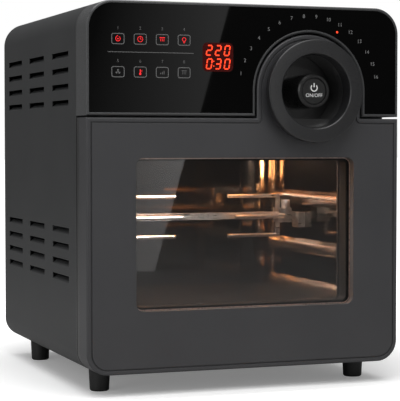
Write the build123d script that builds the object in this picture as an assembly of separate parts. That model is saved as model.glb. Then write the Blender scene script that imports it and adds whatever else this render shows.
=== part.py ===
from build123d import *
import os

# Countertop air fryer oven with a fold-down door, a ring handle and a rotisserie.
# Millimetres, +Z up, front towards -Y, origin on the table under the middle of the oven.

os.makedirs("parts", exist_ok=True)

# Overall sizes
WIDTH = 340.0
BODY_HEIGHT = 370.0
DEPTH = 348.0
FOOT_HEIGHT = 22.0
TOP_RADIUS = 27.0
BOTTOM_RADIUS = 22.0

# Housing sheet metal
SHELL_SHEET = 1.2
FLANGE_WIDTH = 8.0
FRAME_THICKNESS = 3.0
BASE_SHEET = 1.5
BASE_SIDE_CLEARANCE = 3.0
BASE_END_CLEARANCE = 8.0

# Screws round the edge of the shell
EDGE_SCREW_RISE = 60.0

# Louvres in both sides
LOUVRE_LENGTH = 64.0
LOUVRE_HEIGHT = 6.5
LOUVRE_FIRST = 65.0
LOUVRE_LAST = 23.0
LOUVRE_COLUMNS = 3
LOUVRE_ROWS = 4
LOUVRE_ROW_PITCH = 16.5
LOUVRE_DROP = 47.0
LOUVRE_LOWER = 142.9
SLAT_REACH = 5.0
SLAT_OPENING = 2.4

# Rear grille
GRILLE_SLOT = 4.0
GRILLE_PITCH = 9.0
GRILLE_LENGTH = 110.0
GRILLE_ROWS = 7

# Feet
FOOT_TOP_RADIUS = 11.0
FOOT_LOW_RADIUS = 9.85
FOOT_INSET = 27.5
FOOT_FRONT = 50.0
FOOT_REAR = 58.0
FOOT_SCREW_RADIUS = 2.0
FOOT_SCREW_SEAT = 8.0
FOOT_CHAMFER = 1.2

# Door
DOOR_THICKNESS = 34.0
DOOR_GAP = 2.0
DOOR_WALL = 2.5
LINER_THICKNESS = 8.0
ARCH_RADIUS = 58.0
DOOR_CHAMFER = 1.2
GROOVE_INSET = 4.2
GROOVE_WIDTH = 1.4
GROOVE_DEPTH = 1.2
MAGNET_RADIUS = 6.0
MAGNET_DEPTH = 2.5
MAGNET_INSET = 18.0
MAGNET_DROP = 22.0
CATCH_DEPTH = 1.5
SEAL_OUTSET = 2.0
SEAL_WIDTH = 7.0
SEAL_MARGIN = 0.8
SOLID_FOOT = 24.0
DOOR_SCREW_INSET = 11.0
DOOR_SCREW_LOW = 48.0
DOOR_SCREW_DROP = 50.0

# Window
WINDOW_SIDE = 51.2
WINDOW_ABOVE = 40.0
WINDOW_LOW = 61.8
WINDOW_RADIUS = 8.0
WINDOW_RECESS = 8.0
GLASS_THICKNESS = 4.0
GLASS_OVERLAP = 6.0
SPACER_SHOW = 3.0
GLASS_LIP = 2.0

# Ring handle
KNOB_INSET = 101.6
KNOB_DROP = 87.5
RING_PROUD = 18.0
RING_RADIUS = 52.5
RING_BORE = 38.0
RING_LIP = 10.0
RING_NECK = 46.0
RING_ROUND = 1.6
RING_MOUTH = 1.0
TUNNEL_WALL = 3.0
LEDGE_DROP = 28.0
LEDGE_RECESS = 8.0

# Hinges
PIN_RADIUS = 3.0
EAR_THICKNESS = 5.0
EAR_RADIUS = 6.0
EAR_INSET = 40.0
PIN_REACH = 9.0
HINGE_PLATE_WIDTH = 30.0
HINGE_PLATE_HEIGHT = 28.0

# Control unit
UNIT_HEIGHT = 113.2
LIP_WIDTH = 2.8
GLASS_SINK = 0.6
PANEL_GLASS = 2.2
SEAT_WIDTH = 4.0
SEAT_DEPTH = 3.0
BOARD_THICKNESS = 1.6
BOARD_DEPTH = 15.0
ARC_WIDTH = 13.0
BOSS_RADIUS = 5.0
BOSS_INSET = 7.5
POST_RADIUS = 3.0
KEY_INSET = 32.6
KEY_TO_DISPLAY = 17.7
KEY_COLUMNS = 4
KEY_UPPER_DROP = 38.0
KEY_PITCH_Z = 32.4
TOUCH_RADIUS = 4.0
DISPLAY_WIDTH = 36.0
DISPLAY_HEIGHT = 32.0
DISPLAY_TO_KNOB = 101.1
DISPLAY_DROP = 54.0

# Knob with its button
KNOB_RADIUS = 17.75
KNOB_PROUD = 12.0
KNOB_WALL = 3.0
KNOB_CHAMFER = 1.5
KNOB_TAIL_GAP = 1.5
BUTTON_RADIUS = 13.5
BUTTON_THICKNESS = 4.2
BUTTON_SINK = 0.8
BUTTON_CHAMFER = 0.6
BUTTON_RECESS = 11.0
KNOB_WEB = 5.0
STEM_RADIUS = 2.2
SHAFT_RADIUS = 3.0
BACKING_MARGIN = 1.0
BACKING_THICKNESS = 1.2
BUSH_RADIUS = 4.5
ENCODER_SIZE = 16.0
ENCODER_DEPTH = 9.0

# Cooking chamber
SIDE_SPACE = 44.0
REAR_SPACE = 92.0
CAVITY_LOW = 50.0
CAVITY_CORNER = 36.0
CAVITY_SHEET = 1.0
CAVITY_FLANGE = 4.0
RAIL_SHARES = (0.35385, 0.63333, 0.8641)
RAIL_HEIGHT = 17.0
RAIL_BULGE = 6.0
RAIL_FRONT = 5.0
RAIL_END = 26.0

# Drip tray
TRAY_SIDE_GAP = 7.0
TRAY_END_GAP = 6.0
TRAY_HEIGHT = 14.0
TRAY_SHEET = 1.2
TRAY_CORNER = 22.0
TRAY_RIM = 5.0

# Air heating
HEATER_MARGIN = 8.5
HEATER_HEIGHT = 41.0
COIL_TUBE = 3.25
COIL_MARGIN = 12.0
COIL_STEP = 5.5
COIL_TURNS = 5
COIL_HEIGHT = 13.0
GUARD_OVERLAP = 6.0
GUARD_SLOTS = 24
FAN_TO_COIL = 30.0
FAN_BLADES = 10
FAN_LOW = 19.0
BLADE_HEIGHT = 13.0
MOTOR_RADIUS = 32.0
MOTOR_HEIGHT = 30.0
BRIDGE_HEIGHT = 12.0
BRIDGE_INSET = 25.0
BRIDGE_WIDTH = 76.0
COOLING_RADIUS = 42.0
COOLING_HEIGHT = 11.0
TERMINAL_HEIGHT = 9.0
FAN_SHEET = 1.2
FAN_HUB = 9.0
BLADE_ROOT = 1.0
BLADE_MARGIN = 2.0
COOLING_MARGIN = 1.0
COOLING_GAP = 4.0
MOTOR_ROUND = 2.0
GUARD_SLOT = 6.0
CUTOUT_RADIUS = 8.0
CUTOUT_HEIGHT = 7.0
CUTOUT_HALF = 12.0
CUTOUT_TAB = 3.0
CUTOUT_SHEET = 2.0

# Rotisserie
SPIT_BELOW_RAIL = 10.6
SPIT_SIZE = 7.5
JOURNAL_RADIUS = 3.2
SUPPORT_THICKNESS = 8.0
SOCKET_RADIUS = 7.0
FORK_RIGHT_INSET = 24.0
FORK_LEFT_INSET = 34.0
FORK_HUB = 16.0
FORK_HALF = 24.0
PRONG_RADIUS = 2.0
PRONG_LENGTH = 58.0
THUMB_RADIUS = 5.0
GEAR_RADIUS = 24.0
GEAR_DEPTH = 20.0
GEAR_STANDOFF = 12.0
THUMB_SHANK = 2.5
DRIVE_RADIUS = 4.0
THUMB_HEIGHT = 9.0
THUMB_MARGIN = 1.5
SOCKET_DEPTH = 3.0
SOCKET_FLOOR = 4.0
SOCKET_REACH = 12.0
BUSH_WALL = 1.5
BUSH_RIM = 1.7
BUSH_TAIL = 2.0
GEAR_EDGE = 2.0
GEAR_POST_OUT = 4.0
GEAR_POST_LOW = 22.0
GEAR_POST_HIGH = 6.0
REST_HALF = 9.0
REST_LOW = 14.0
REST_HIGH = 3.0

# Lamp, probe and rear electrics
LAMP_RADIUS = 16.0
LAMP_FROM_BACK = 67.0
LAMP_DROP = 40.0
LAMP_LENGTH = 32.0
LAMP_CUP = 4.0
LAMP_FLOOR = 2.0
LAMP_CAP = 6.0
LAMP_CAP_LENGTH = 9.0
LAMP_BULB = 4.5
LAMP_BULB_END = 22.0
LAMP_RIM = 3.0
LAMP_GLASS = 2.5
PROBE_RADIUS = 2.5
PROBE_DROP = 22.0
PROBE_REACH = 16.0
PROBE_TAIL = 9.0
PROBE_FLANGE = 6.0
PROBE_SHEET = 2.0
GLAND_RADIUS = 9.0
GLAND_INSET = 65.0
GLAND_HEIGHT = 60.0
GLAND_LENGTH = 12.0
GLAND_RIM = 4.0
GLAND_FLANGE = 3.0
CORD_RADIUS = 3.5
SWITCH_HALF = 3.0
SWITCH_REACH = 10.0
POWER_HALF = 62.0
POWER_DEPTH = 62.0
POWER_GAP = 12.0
TRANSFORMER_INSET = 8.0
TRANSFORMER_WIDTH = 32.0
TRANSFORMER_HEIGHT = 26.0
RELAY_LEFT = 8.0
RELAY_WIDTH = 20.0
RELAY_FRONT = 18.0
RELAY_SIZE = 16.0
CAPACITOR_RADIUS = 8.0
CAPACITOR_X = 4.0
CAPACITOR_BACK = 14.0
CAPACITOR_HEIGHT = 24.0
TERMINALS_INSET = 12.0
TERMINALS_WIDTH = 14.0
TERMINALS_LENGTH = 40.0
POST_HEIGHT = 10.0

# Fits and clearances
RUNNING = 0.06
FIXED = 0.03
LOOSE = 0.3
SCREW_RADIUS = 1.5
SCREW_HEAD = 2.6
SCREW_SINK = 2.0
SCREW_LENGTH = 11.0

# Levels that follow from the sizes
LEFT = -WIDTH / 2
RIGHT = WIDTH / 2
FRONT = RING_PROUD - (DEPTH + RING_PROUD) / 2
BACK = FRONT + DEPTH
BOTTOM = FOOT_HEIGHT
TOP = BOTTOM + BODY_HEIGHT
DOOR_BACK = FRONT + DOOR_THICKNESS
DOOR_HEIGHT = BODY_HEIGHT - UNIT_HEIGHT - DOOR_GAP
WINDOW_WIDTH = WIDTH - 2 * WINDOW_SIDE
WINDOW_HEIGHT = DOOR_HEIGHT - WINDOW_LOW - WINDOW_ABOVE
LINER_FRONT = DOOR_BACK - LINER_THICKNESS
FRAME_FRONT = DOOR_BACK + DOOR_GAP
FRAME_BACK = FRAME_FRONT + FRAME_THICKNESS
REAR_FRONT = BACK - SHELL_SHEET
SEAM_LOW = BOTTOM + DOOR_HEIGHT
SEAM_HIGH = SEAM_LOW + DOOR_GAP
KNOB_X = RIGHT - KNOB_INSET
KNOB_Z = TOP - KNOB_DROP
KEY_FIRST_X = LEFT + KEY_INSET
DISPLAY_X = KNOB_X - DISPLAY_TO_KNOB
KEY_LAST_X = DISPLAY_X - DISPLAY_WIDTH / 2 - KEY_TO_DISPLAY
KEY_PITCH_X = (KEY_LAST_X - KEY_FIRST_X) / (KEY_COLUMNS - 1)
HINGE_R = DOOR_THICKNESS / 2
HINGE_Y = FRONT + HINGE_R
HINGE_Z = BOTTOM + HINGE_R
CAVITY_WIDTH = WIDTH - 2 * SIDE_SPACE
CAVITY_DEPTH = BACK - REAR_SPACE - FRAME_BACK
CAVITY_FLOOR = BOTTOM + CAVITY_LOW
CAVITY_TOP = SEAM_LOW - SEAL_OUTSET - SEAL_WIDTH - SEAL_MARGIN
CAVITY_HEIGHT = CAVITY_TOP - CAVITY_FLOOR
RAIL_LENGTH = CAVITY_DEPTH - RAIL_FRONT - RAIL_END
BACKING_RADIUS = KNOB_Z - CAVITY_TOP - SEAL_OUTSET - SEAL_WIDTH - BACKING_MARGIN
LOUVRE_PITCH = (DEPTH - LOUVRE_FIRST - LOUVRE_LENGTH - LOUVRE_LAST) / (LOUVRE_COLUMNS - 1)
LOUVRE_TOPS = (TOP - LOUVRE_DROP, BOTTOM + LOUVRE_LOWER)
GLAND_X = RIGHT - GLAND_INSET
CAVITY_SIDE = CAVITY_WIDTH / 2
CAVITY_BACK = FRAME_BACK + CAVITY_DEPTH
FAN_Y = (FRAME_BACK + CAVITY_BACK) / 2
HEATER_RADIUS = CAVITY_DEPTH / 2 - HEATER_MARGIN
COIL_OUTER = HEATER_RADIUS - COIL_MARGIN
GUARD_RADIUS = HEATER_RADIUS + GUARD_OVERLAP
FAN_RADIUS = COIL_OUTER - FAN_TO_COIL
BRIDGE_LENGTH = 2 * (HEATER_RADIUS - BRIDGE_INSET)
HEATER_LOW = CAVITY_TOP + CAVITY_SHEET
HEATER_TOP = HEATER_LOW + HEATER_HEIGHT
SPIT_Z = CAVITY_TOP - RAIL_SHARES[0] * CAVITY_HEIGHT - RAIL_HEIGHT - SPIT_BELOW_RAIL
SPIT_Y = FAN_Y
FORK_RIGHT_X = CAVITY_SIDE - FORK_RIGHT_INSET
FORK_LEFT_X = FORK_LEFT_INSET - CAVITY_SIDE
WINDOW_Z = BOTTOM + WINDOW_LOW + WINDOW_HEIGHT / 2
BASE_LOW = BOTTOM + SHELL_SHEET
BASE_TOP = BASE_LOW + BASE_SHEET
GLASS_FRONT = FRONT + GLASS_SINK
GLASS_BACK = GLASS_FRONT + PANEL_GLASS
BOARD_FRONT = FRONT + BOARD_DEPTH
BOARD_BACK = BOARD_FRONT + BOARD_THICKNESS


def box(x0, x1, y0, y1, z0, z1):
    """A block between two corners."""
    middle = Pos((x0 + x1) / 2, (y0 + y1) / 2, (z0 + z1) / 2)
    return middle * Box(x1 - x0, y1 - y0, z1 - z0)


def rod_x(radius, x0, x1, y, z):
    """A round bar along X."""
    return Pos((x0 + x1) / 2, y, z) * Rot(0, 90, 0) * Cylinder(radius, x1 - x0)


def rod_y(radius, x, y0, y1, z):
    """A round bar along Y."""
    return Pos(x, (y0 + y1) / 2, z) * Rot(90, 0, 0) * Cylinder(radius, y1 - y0)


def rod_z(radius, x, y, z0, z1):
    """A round bar along Z."""
    return Pos(x, y, (z0 + z1) / 2) * Cylinder(radius, z1 - z0)


def slab(outline, y0, y1):
    """A front-view outline (x, z) made solid from y0 back to y1."""
    plane = Plane(origin=(0, y1, 0), x_dir=(1, 0, 0), z_dir=(0, -1, 0))
    return extrude(plane * outline, amount=y1 - y0, dir=(0, -1, 0))


def plate(outline, z0, z1):
    """A top-view outline (x, y) made solid from z0 up to z1."""
    return extrude(Pos(0, 0, z0) * outline, amount=z1 - z0, dir=(0, 0, 1))


def bar(outline, x0, x1):
    """A side-view outline (y, z) made solid from x0 to x1."""
    return extrude(Plane.YZ.offset(x0) * outline, amount=x1 - x0, dir=(1, 0, 0))


def area(x0, x1, y0, y1):
    """A flat rectangle between two corners."""
    return Pos((x0 + x1) / 2, (y0 + y1) / 2) * Rectangle(x1 - x0, y1 - y0)


def disc(radius, x=0.0, y=0.0):
    """A flat disc."""
    return Pos(x, y) * Circle(radius)


def rounded_ends(outline, low, high):
    """Rounds the two low and the two high corners of an upright rectangle."""
    rows = outline.vertices().group_by(Axis.Y)
    if high:
        outline = fillet(rows[-1], high)
    rows = outline.vertices().group_by(Axis.Y)
    if low:
        outline = fillet(rows[0], low)
    return outline


def body_outline(inset=0.0):
    """The rounded front view of the body, drawn in by inset."""
    flat = area(LEFT + inset, RIGHT - inset, BOTTOM + inset, TOP - inset)
    return rounded_ends(flat, BOTTOM_RADIUS - inset, TOP_RADIUS - inset)


def arch_outline(radius, low):
    """The arch round the knob, with straight sides down to low."""
    sides = area(KNOB_X - radius, KNOB_X + radius, low, KNOB_Z)
    return sides + disc(radius, KNOB_X, KNOB_Z)


def door_outline():
    """The door with its arch."""
    low = rounded_ends(area(LEFT, RIGHT, BOTTOM, SEAM_LOW), BOTTOM_RADIUS, 0)
    return low + arch_outline(ARCH_RADIUS, SEAM_LOW - WINDOW_RADIUS)


def unit_outline():
    """The control unit above the door, cut out for the arch."""
    flat = rounded_ends(area(LEFT, RIGHT, SEAM_HIGH, TOP), 0, TOP_RADIUS)
    return flat - arch_outline(ARCH_RADIUS + DOOR_GAP, SEAM_HIGH - DOOR_GAP)


def window_outline(grow=0.0):
    """The door window, grown all round."""
    size = RectangleRounded(WINDOW_WIDTH + 2 * grow, WINDOW_HEIGHT + 2 * grow, WINDOW_RADIUS + grow)
    return Pos(0, WINDOW_Z) * size


def drawn_in(outline, inset):
    """The same outline, smaller all round."""
    return offset(outline, amount=-inset)


def screw_y(x, z, face, length, inward=1):
    """A flush screw along Y with its head at face."""
    sink = face + inward * SCREW_SINK
    tip = face + inward * length
    head = rod_y(SCREW_HEAD, x, min(face, sink), max(face, sink), z)
    return head + rod_y(SCREW_RADIUS, x, min(sink, tip), max(sink, tip), z)


def screw_hole_y(x, z, face, through, inward=1):
    """The hole that a flush screw needs from face to through."""
    sink = face + inward * SCREW_SINK
    head = rod_y(SCREW_HEAD + FIXED, x, min(face, sink), max(face, sink), z)
    return head + rod_y(SCREW_RADIUS + FIXED, x, min(face, through), max(face, through), z)


def edge_points(inset):
    """Screw places round the body's edge."""
    side = RIGHT - inset
    heights = (BOTTOM + EDGE_SCREW_RISE, (BOTTOM + TOP) / 2, TOP - EDGE_SCREW_RISE)
    points = [(sign * side, z) for sign in (-1, 1) for z in heights]
    points += [(sign * side / 2, z) for sign in (-1, 1) for z in (BOTTOM + inset, TOP - inset)]
    return points


EDGE_POINTS = edge_points(SHELL_SHEET + FLANGE_WIDTH / 2)
FOOT_POINTS = [
    (sign * (RIGHT - FOOT_INSET), FRONT + y)
    for sign in (-1, 1)
    for y in (FOOT_FRONT, DEPTH - FOOT_REAR)
]
EAR_XS = (LEFT + EAR_INSET, RIGHT - EAR_INSET)
PARTS = {}


def louvre_places():
    """The low front corner of every louvre window on one side."""
    for top in LOUVRE_TOPS:
        for row in range(LOUVRE_ROWS):
            for column in range(LOUVRE_COLUMNS):
                y = FRONT + LOUVRE_FIRST + column * LOUVRE_PITCH
                yield y, top - LOUVRE_HEIGHT - row * LOUVRE_ROW_PITCH


def louvre_slat(side, y, z):
    """One pressed slat that slants inward and up from the window's low edge."""
    outer = side * RIGHT
    inner = side * (RIGHT - SHELL_SHEET)
    tip = side * (RIGHT - SLAT_REACH)
    rise = LOUVRE_HEIGHT - SLAT_OPENING
    points = [(outer, z), (outer, z - SHELL_SHEET), (inner, z - SHELL_SHEET),
              (tip, z + rise - SHELL_SHEET), (tip, z + rise)]
    profile = Polygon(*points, align=None)
    return slab(profile, y, y + LOUVRE_LENGTH)


def outer_shell():
    """One wrapped sheet with pressed louvres and a flange rolled in at each end."""
    inside = body_outline(SHELL_SHEET)
    flange = inside - body_outline(SHELL_SHEET + FLANGE_WIDTH)
    shell = slab(body_outline() - inside, FRAME_BACK, REAR_FRONT)
    shell += slab(flange, FRAME_BACK, FRAME_BACK + SHELL_SHEET)
    shell += slab(flange, REAR_FRONT - SHELL_SHEET, REAR_FRONT)
    windows = []
    slats = []
    for side in (-1, 1):
        for y, z in louvre_places():
            edges = sorted((side * (RIGHT - SHELL_SHEET), side * RIGHT))
            windows.append(box(*edges, y, y + LOUVRE_LENGTH, z, z + LOUVRE_HEIGHT))
            slats.append(louvre_slat(side, y, z))
    shell = shell - windows
    shell = shell + slats
    for x, y in FOOT_POINTS:
        shell -= rod_z(FOOT_SCREW_RADIUS + FIXED, x, y, BOTTOM, BASE_LOW)
    for x, z in EDGE_POINTS:
        shell -= rod_y(SCREW_RADIUS + FIXED, x, FRAME_BACK, FRAME_BACK + SHELL_SHEET, z)
        shell -= rod_y(SCREW_RADIUS + FIXED, x, REAR_FRONT - SHELL_SHEET, REAR_FRONT, z)
    return shell


def rear_panel():
    """The back sheet with its grille, gland hole and screw holes."""
    panel = slab(body_outline(), REAR_FRONT, BACK)
    slots = []
    for row in range(GRILLE_ROWS):
        for middle in (CAVITY_TOP + HEATER_HEIGHT, CAVITY_FLOOR + HEATER_HEIGHT):
            z = middle + (row - (GRILLE_ROWS - 1) / 2) * GRILLE_PITCH
            slot = Pos(0, z) * SlotOverall(GRILLE_LENGTH, GRILLE_SLOT)
            slots.append(slab(slot, REAR_FRONT, BACK))
    panel = panel - slots
    panel -= rod_y(GLAND_RADIUS + FIXED, GLAND_X, REAR_FRONT, BACK, BOTTOM + GLAND_HEIGHT)
    for x, z in EDGE_POINTS:
        panel -= rod_y(SCREW_HEAD + FIXED, x, REAR_FRONT, BACK, z)
    return panel


def rear_screws():
    """Pan screws that hold the rear panel to the shell's flange."""
    screws = []
    for x, z in EDGE_POINTS:
        head = rod_y(SCREW_HEAD, x, REAR_FRONT, BACK, z)
        screws.append(head + rod_y(SCREW_RADIUS, x, BACK - SCREW_LENGTH, REAR_FRONT, z))
    return screws


def base_plate():
    """The floor sheet inside the shell."""
    side = RIGHT - BOTTOM_RADIUS - BASE_SIDE_CLEARANCE
    front = FRAME_BACK + SHELL_SHEET + BASE_END_CLEARANCE
    sheet = box(-side, side, front, REAR_FRONT - BASE_END_CLEARANCE, BASE_LOW, BASE_TOP)
    for x, y in FOOT_POINTS:
        sheet -= rod_z(FOOT_SCREW_RADIUS + FIXED, x, y, BASE_LOW, BASE_TOP)
    return sheet


def foot(x, y):
    """A tapered rubber-capped foot with a screw hole from below."""
    body = Pos(x, y, BOTTOM / 2) * Cone(FOOT_LOW_RADIUS, FOOT_TOP_RADIUS, BOTTOM)
    body = chamfer(body.edges().filter_by(GeomType.CIRCLE).sort_by(Axis.Z)[0], FOOT_CHAMFER)
    body -= rod_z(2 * FOOT_SCREW_RADIUS + LOOSE, x, y, 0, FOOT_SCREW_SEAT)
    return body - rod_z(FOOT_SCREW_RADIUS + FIXED, x, y, FOOT_SCREW_SEAT, BOTTOM)


def foot_screws():
    """A screw up through each foot into the base plate."""
    screws = []
    for x, y in FOOT_POINTS:
        head = rod_z(2 * FOOT_SCREW_RADIUS, x, y, FOOT_SCREW_SEAT - SCREW_SINK, FOOT_SCREW_SEAT)
        shank = rod_z(FOOT_SCREW_RADIUS, x, y, FOOT_SCREW_SEAT, BASE_TOP + SCREW_SINK)
        screws.append(head + shank)
    return screws


def cavity_outline(grow=0.0):
    """Top view of the cooking chamber, open at the front, with rounded back corners."""
    flat = area(-CAVITY_SIDE, CAVITY_SIDE, FRAME_BACK - 2 * CAVITY_CORNER, CAVITY_BACK)
    flat = rounded_ends(flat, 0, CAVITY_CORNER)
    if grow:
        flat = offset(flat, amount=grow)
    return flat - area(LEFT, RIGHT, FRAME_BACK - 4 * CAVITY_CORNER, FRAME_BACK)


def frame_opening(grow=0.0):
    """Front view of the chamber's mouth."""
    middle = (CAVITY_FLOOR + CAVITY_TOP) / 2
    size = RectangleRounded(CAVITY_WIDTH + 2 * grow, CAVITY_HEIGHT + 2 * grow, WINDOW_RADIUS + grow)
    return Pos(0, middle) * size


MAGNET_POINTS = [(sign * (RIGHT - MAGNET_INSET), SEAM_LOW - MAGNET_DROP) for sign in (-1, 1)]


def front_frame():
    """The painted plate behind the door, round the mouth of the chamber."""
    frame = slab(body_outline() - frame_opening(), FRAME_FRONT, FRAME_BACK)
    for x in EAR_XS:
        half = EAR_THICKNESS / 2 + LOOSE
        reach = EAR_RADIUS + LOOSE
        frame -= box(x - half, x + half, FRAME_FRONT, FRAME_BACK, HINGE_Z - reach, HINGE_Z + reach)
    for x, z in EDGE_POINTS:
        frame -= screw_hole_y(x, z, FRAME_FRONT, FRAME_BACK)
    for x, z in MAGNET_POINTS:
        frame -= rod_y(MAGNET_RADIUS + FIXED, x, FRAME_FRONT, FRAME_FRONT + CATCH_DEPTH, z)
    return frame - rod_y(BUSH_RADIUS + FIXED, KNOB_X, FRAME_FRONT, FRAME_BACK, KNOB_Z)


def frame_screws():
    """Flush screws from the frame into the shell's flange."""
    return [screw_y(x, z, FRAME_FRONT, SCREW_LENGTH) for x, z in EDGE_POINTS]


def cavity_wall():
    """Stainless wrap for the two sides and the back, with three pressed rails a side."""
    ring = cavity_outline(CAVITY_SHEET) - cavity_outline()
    wall = plate(ring, CAVITY_FLOOR, CAVITY_TOP)
    start = FRAME_BACK + RAIL_FRONT
    for side in (-1, 1):
        for share in RAIL_SHARES:
            top = CAVITY_TOP - share * CAVITY_HEIGHT
            inner = CAVITY_SIDE - RAIL_BULGE
            bulge = rail_profile(side, CAVITY_SIDE, inner, top, 0.0)
            hollow = rail_profile(side, CAVITY_SIDE + CAVITY_SHEET, inner + CAVITY_SHEET, top,
                                  CAVITY_SHEET)
            wall += slab(bulge, start, start + RAIL_LENGTH)
            wall -= slab(hollow, start + CAVITY_SHEET, start + RAIL_LENGTH - CAVITY_SHEET)
    wall -= rod_x(BUSH_X_RADIUS + FIXED, -CAVITY_SIDE - CAVITY_SHEET, -CAVITY_SIDE, SPIT_Y, SPIT_Z)
    wall -= rod_x(LAMP_RADIUS, -CAVITY_SIDE - CAVITY_SHEET, -CAVITY_SIDE, LAMP_Y, LAMP_Z)
    wall -= rod_x(PROBE_RADIUS + FIXED, CAVITY_SIDE, CAVITY_SIDE + CAVITY_SHEET, LAMP_Y, PROBE_Z)
    return wall


def rail_profile(side, outer, inner, top, shrink):
    """Front view of a pressed rail: a step below a sloped top face."""
    slope = (outer - inner) * 0.6
    points = [(side * outer, top - shrink), (side * inner, top - slope - shrink / 2),
              (side * inner, top - RAIL_HEIGHT + slope / 2 + shrink / 2),
              (side * outer, top - RAIL_HEIGHT + shrink)]
    return Polygon(*points, align=None)


def cavity_ceiling():
    """The chamber's top sheet with the round hole to the fan."""
    sheet = plate(cavity_outline(CAVITY_FLANGE), CAVITY_TOP, HEATER_LOW)
    return sheet - rod_z(HEATER_RADIUS - CAVITY_FLANGE, 0, FAN_Y, CAVITY_TOP, HEATER_LOW)


def cavity_bracket(side):
    """A folded bracket between the base plate and the chamber."""
    web = side * CAVITY_SIDE * 0.8
    foot_x = sorted((web, web - side * 3 * FLANGE_WIDTH))
    edges = sorted((web, web - side * BASE_SHEET))
    low = FRAME_BACK + 4 * BASE_END_CLEARANCE
    high = CAVITY_BACK - 4 * BASE_END_CLEARANCE
    roof = CAVITY_FLOOR - CAVITY_SHEET
    bracket = box(*edges, low, high, BASE_TOP, roof)
    bracket += box(*foot_x, low, high, BASE_TOP, BASE_TOP + BASE_SHEET)
    return bracket + box(*foot_x, low, high, roof - BASE_SHEET, roof)


def drip_tray():
    """A rimmed tray that rests on the chamber floor."""
    side = CAVITY_SIDE - TRAY_SIDE_GAP - TRAY_RIM
    front = FRAME_BACK + TRAY_END_GAP + TRAY_RIM
    back = CAVITY_BACK - TRAY_END_GAP - TRAY_RIM - CAVITY_CORNER / 4
    middle = Pos(0, (front + back) / 2)
    outside = middle * RectangleRounded(2 * side, back - front, TRAY_CORNER)
    low = CAVITY_FLOOR
    high = CAVITY_FLOOR + TRAY_HEIGHT
    tray = plate(outside, low, high)
    tray += plate(offset(outside, amount=TRAY_RIM), high - TRAY_SHEET, high)
    return tray - plate(offset(outside, amount=-TRAY_SHEET), low + TRAY_SHEET, high)


def control_bezel():
    """The control unit's frame: a lip all round, a seat for the glass and screw bosses."""
    outline = unit_outline()
    inside = drawn_in(outline, LIP_WIDTH)
    bezel = slab(outline - inside, FRONT, FRAME_FRONT)
    bezel += slab(inside - drawn_in(outline, LIP_WIDTH + SEAT_WIDTH), GLASS_BACK, GLASS_BACK + SEAT_DEPTH)
    for x, z in BOSS_POINTS:
        bezel += rod_y(BOSS_RADIUS, x, GLASS_BACK, FRAME_FRONT, z)
    front = bezel.faces().sort_by(Axis.Y)[0]
    return chamfer(front.outer_wire().edges(), DOOR_CHAMFER)


BOSS_POINTS = [
    (sign * (RIGHT - BOSS_INSET), z)
    for sign in (-1, 1)
    for z in (SEAM_HIGH + 2 * BOSS_INSET, TOP - TOP_RADIUS - BOSS_INSET)
]


def control_glass():
    """The black glass that fills the control unit's frame."""
    inside = drawn_in(unit_outline(), LIP_WIDTH + FIXED)
    return slab(inside, GLASS_FRONT, GLASS_BACK)


def board_outline():
    """The control board: a rectangle at the left and an arc for the program lights."""
    side = KNOB_X - ARCH_RADIUS - DOOR_GAP - LIP_WIDTH - 2 * LOOSE
    low = SEAM_HIGH + LIP_WIDTH + SEAT_WIDTH + 2 * LOOSE
    flat = area(LEFT + 3 * BOSS_INSET, side, low, TOP - 2 * BOSS_INSET)
    arc = disc(ARC_OUTER, KNOB_X, KNOB_Z) - disc(ARC_INNER, KNOB_X, KNOB_Z)
    above = area(LEFT, RIGHT, KNOB_Z + LIP_WIDTH, TOP)
    return flat + (arc & above)


ARC_INNER = ARCH_RADIUS + DOOR_GAP + LIP_WIDTH + SEAT_WIDTH
ARC_OUTER = ARC_INNER + ARC_WIDTH
BOARD_POSTS = [
    (x, z)
    for x in (LEFT + 4 * BOSS_INSET, KNOB_X - ARC_OUTER)
    for z in (SEAM_HIGH + 3 * BOSS_INSET, TOP - 3 * BOSS_INSET)
]


def touch_springs():
    """A spring pad from the board to the glass behind each of the eight keys."""
    pads = []
    for row in range(2):
        for column in range(KEY_COLUMNS):
            x = KEY_FIRST_X + column * KEY_PITCH_X
            z = TOP - KEY_UPPER_DROP - row * KEY_PITCH_Z
            pads.append(rod_y(TOUCH_RADIUS, x, GLASS_BACK, BOARD_FRONT, z))
    return pads


def board_posts():
    """Posts that hold the control board off the frame, and the power board off the base."""
    posts = [rod_y(POST_RADIUS, x, BOARD_BACK, FRAME_FRONT, z) for x, z in BOARD_POSTS]
    for x in (-POWER_HALF + POST_RADIUS, POWER_HALF - POST_RADIUS):
        for y in (POWER_FRONT + POST_RADIUS, POWER_FRONT + POWER_DEPTH - POST_RADIUS):
            posts.append(rod_z(POST_RADIUS, x, y, BASE_TOP, BASE_TOP + POST_HEIGHT))
    return posts


POWER_FRONT = CAVITY_BACK + POWER_GAP


def power_board():
    """The mains board with its transformer, relay, capacitor and terminals."""
    low = BASE_TOP + POST_HEIGHT
    top = low + BOARD_THICKNESS
    middle = POWER_FRONT + POWER_DEPTH / 2
    board = box(-POWER_HALF, POWER_HALF, POWER_FRONT, POWER_FRONT + POWER_DEPTH, low, top)
    left = TRANSFORMER_INSET - POWER_HALF
    half = TRANSFORMER_WIDTH / 2
    board += box(left, left + TRANSFORMER_WIDTH, middle - half, middle + half, top,
                 top + TRANSFORMER_HEIGHT)
    front = middle - RELAY_FRONT
    board += box(-RELAY_LEFT, RELAY_WIDTH - RELAY_LEFT, front, front + RELAY_SIZE, top,
                 top + RELAY_SIZE)
    board += rod_z(CAPACITOR_RADIUS, CAPACITOR_X, middle + CAPACITOR_BACK, top,
                   top + CAPACITOR_HEIGHT)
    right = POWER_HALF - TERMINALS_INSET
    half = TERMINALS_LENGTH / 2
    return board + box(right - TERMINALS_WIDTH, right, middle - half, middle + half, top,
                       top + TERMINALS_WIDTH)


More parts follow.
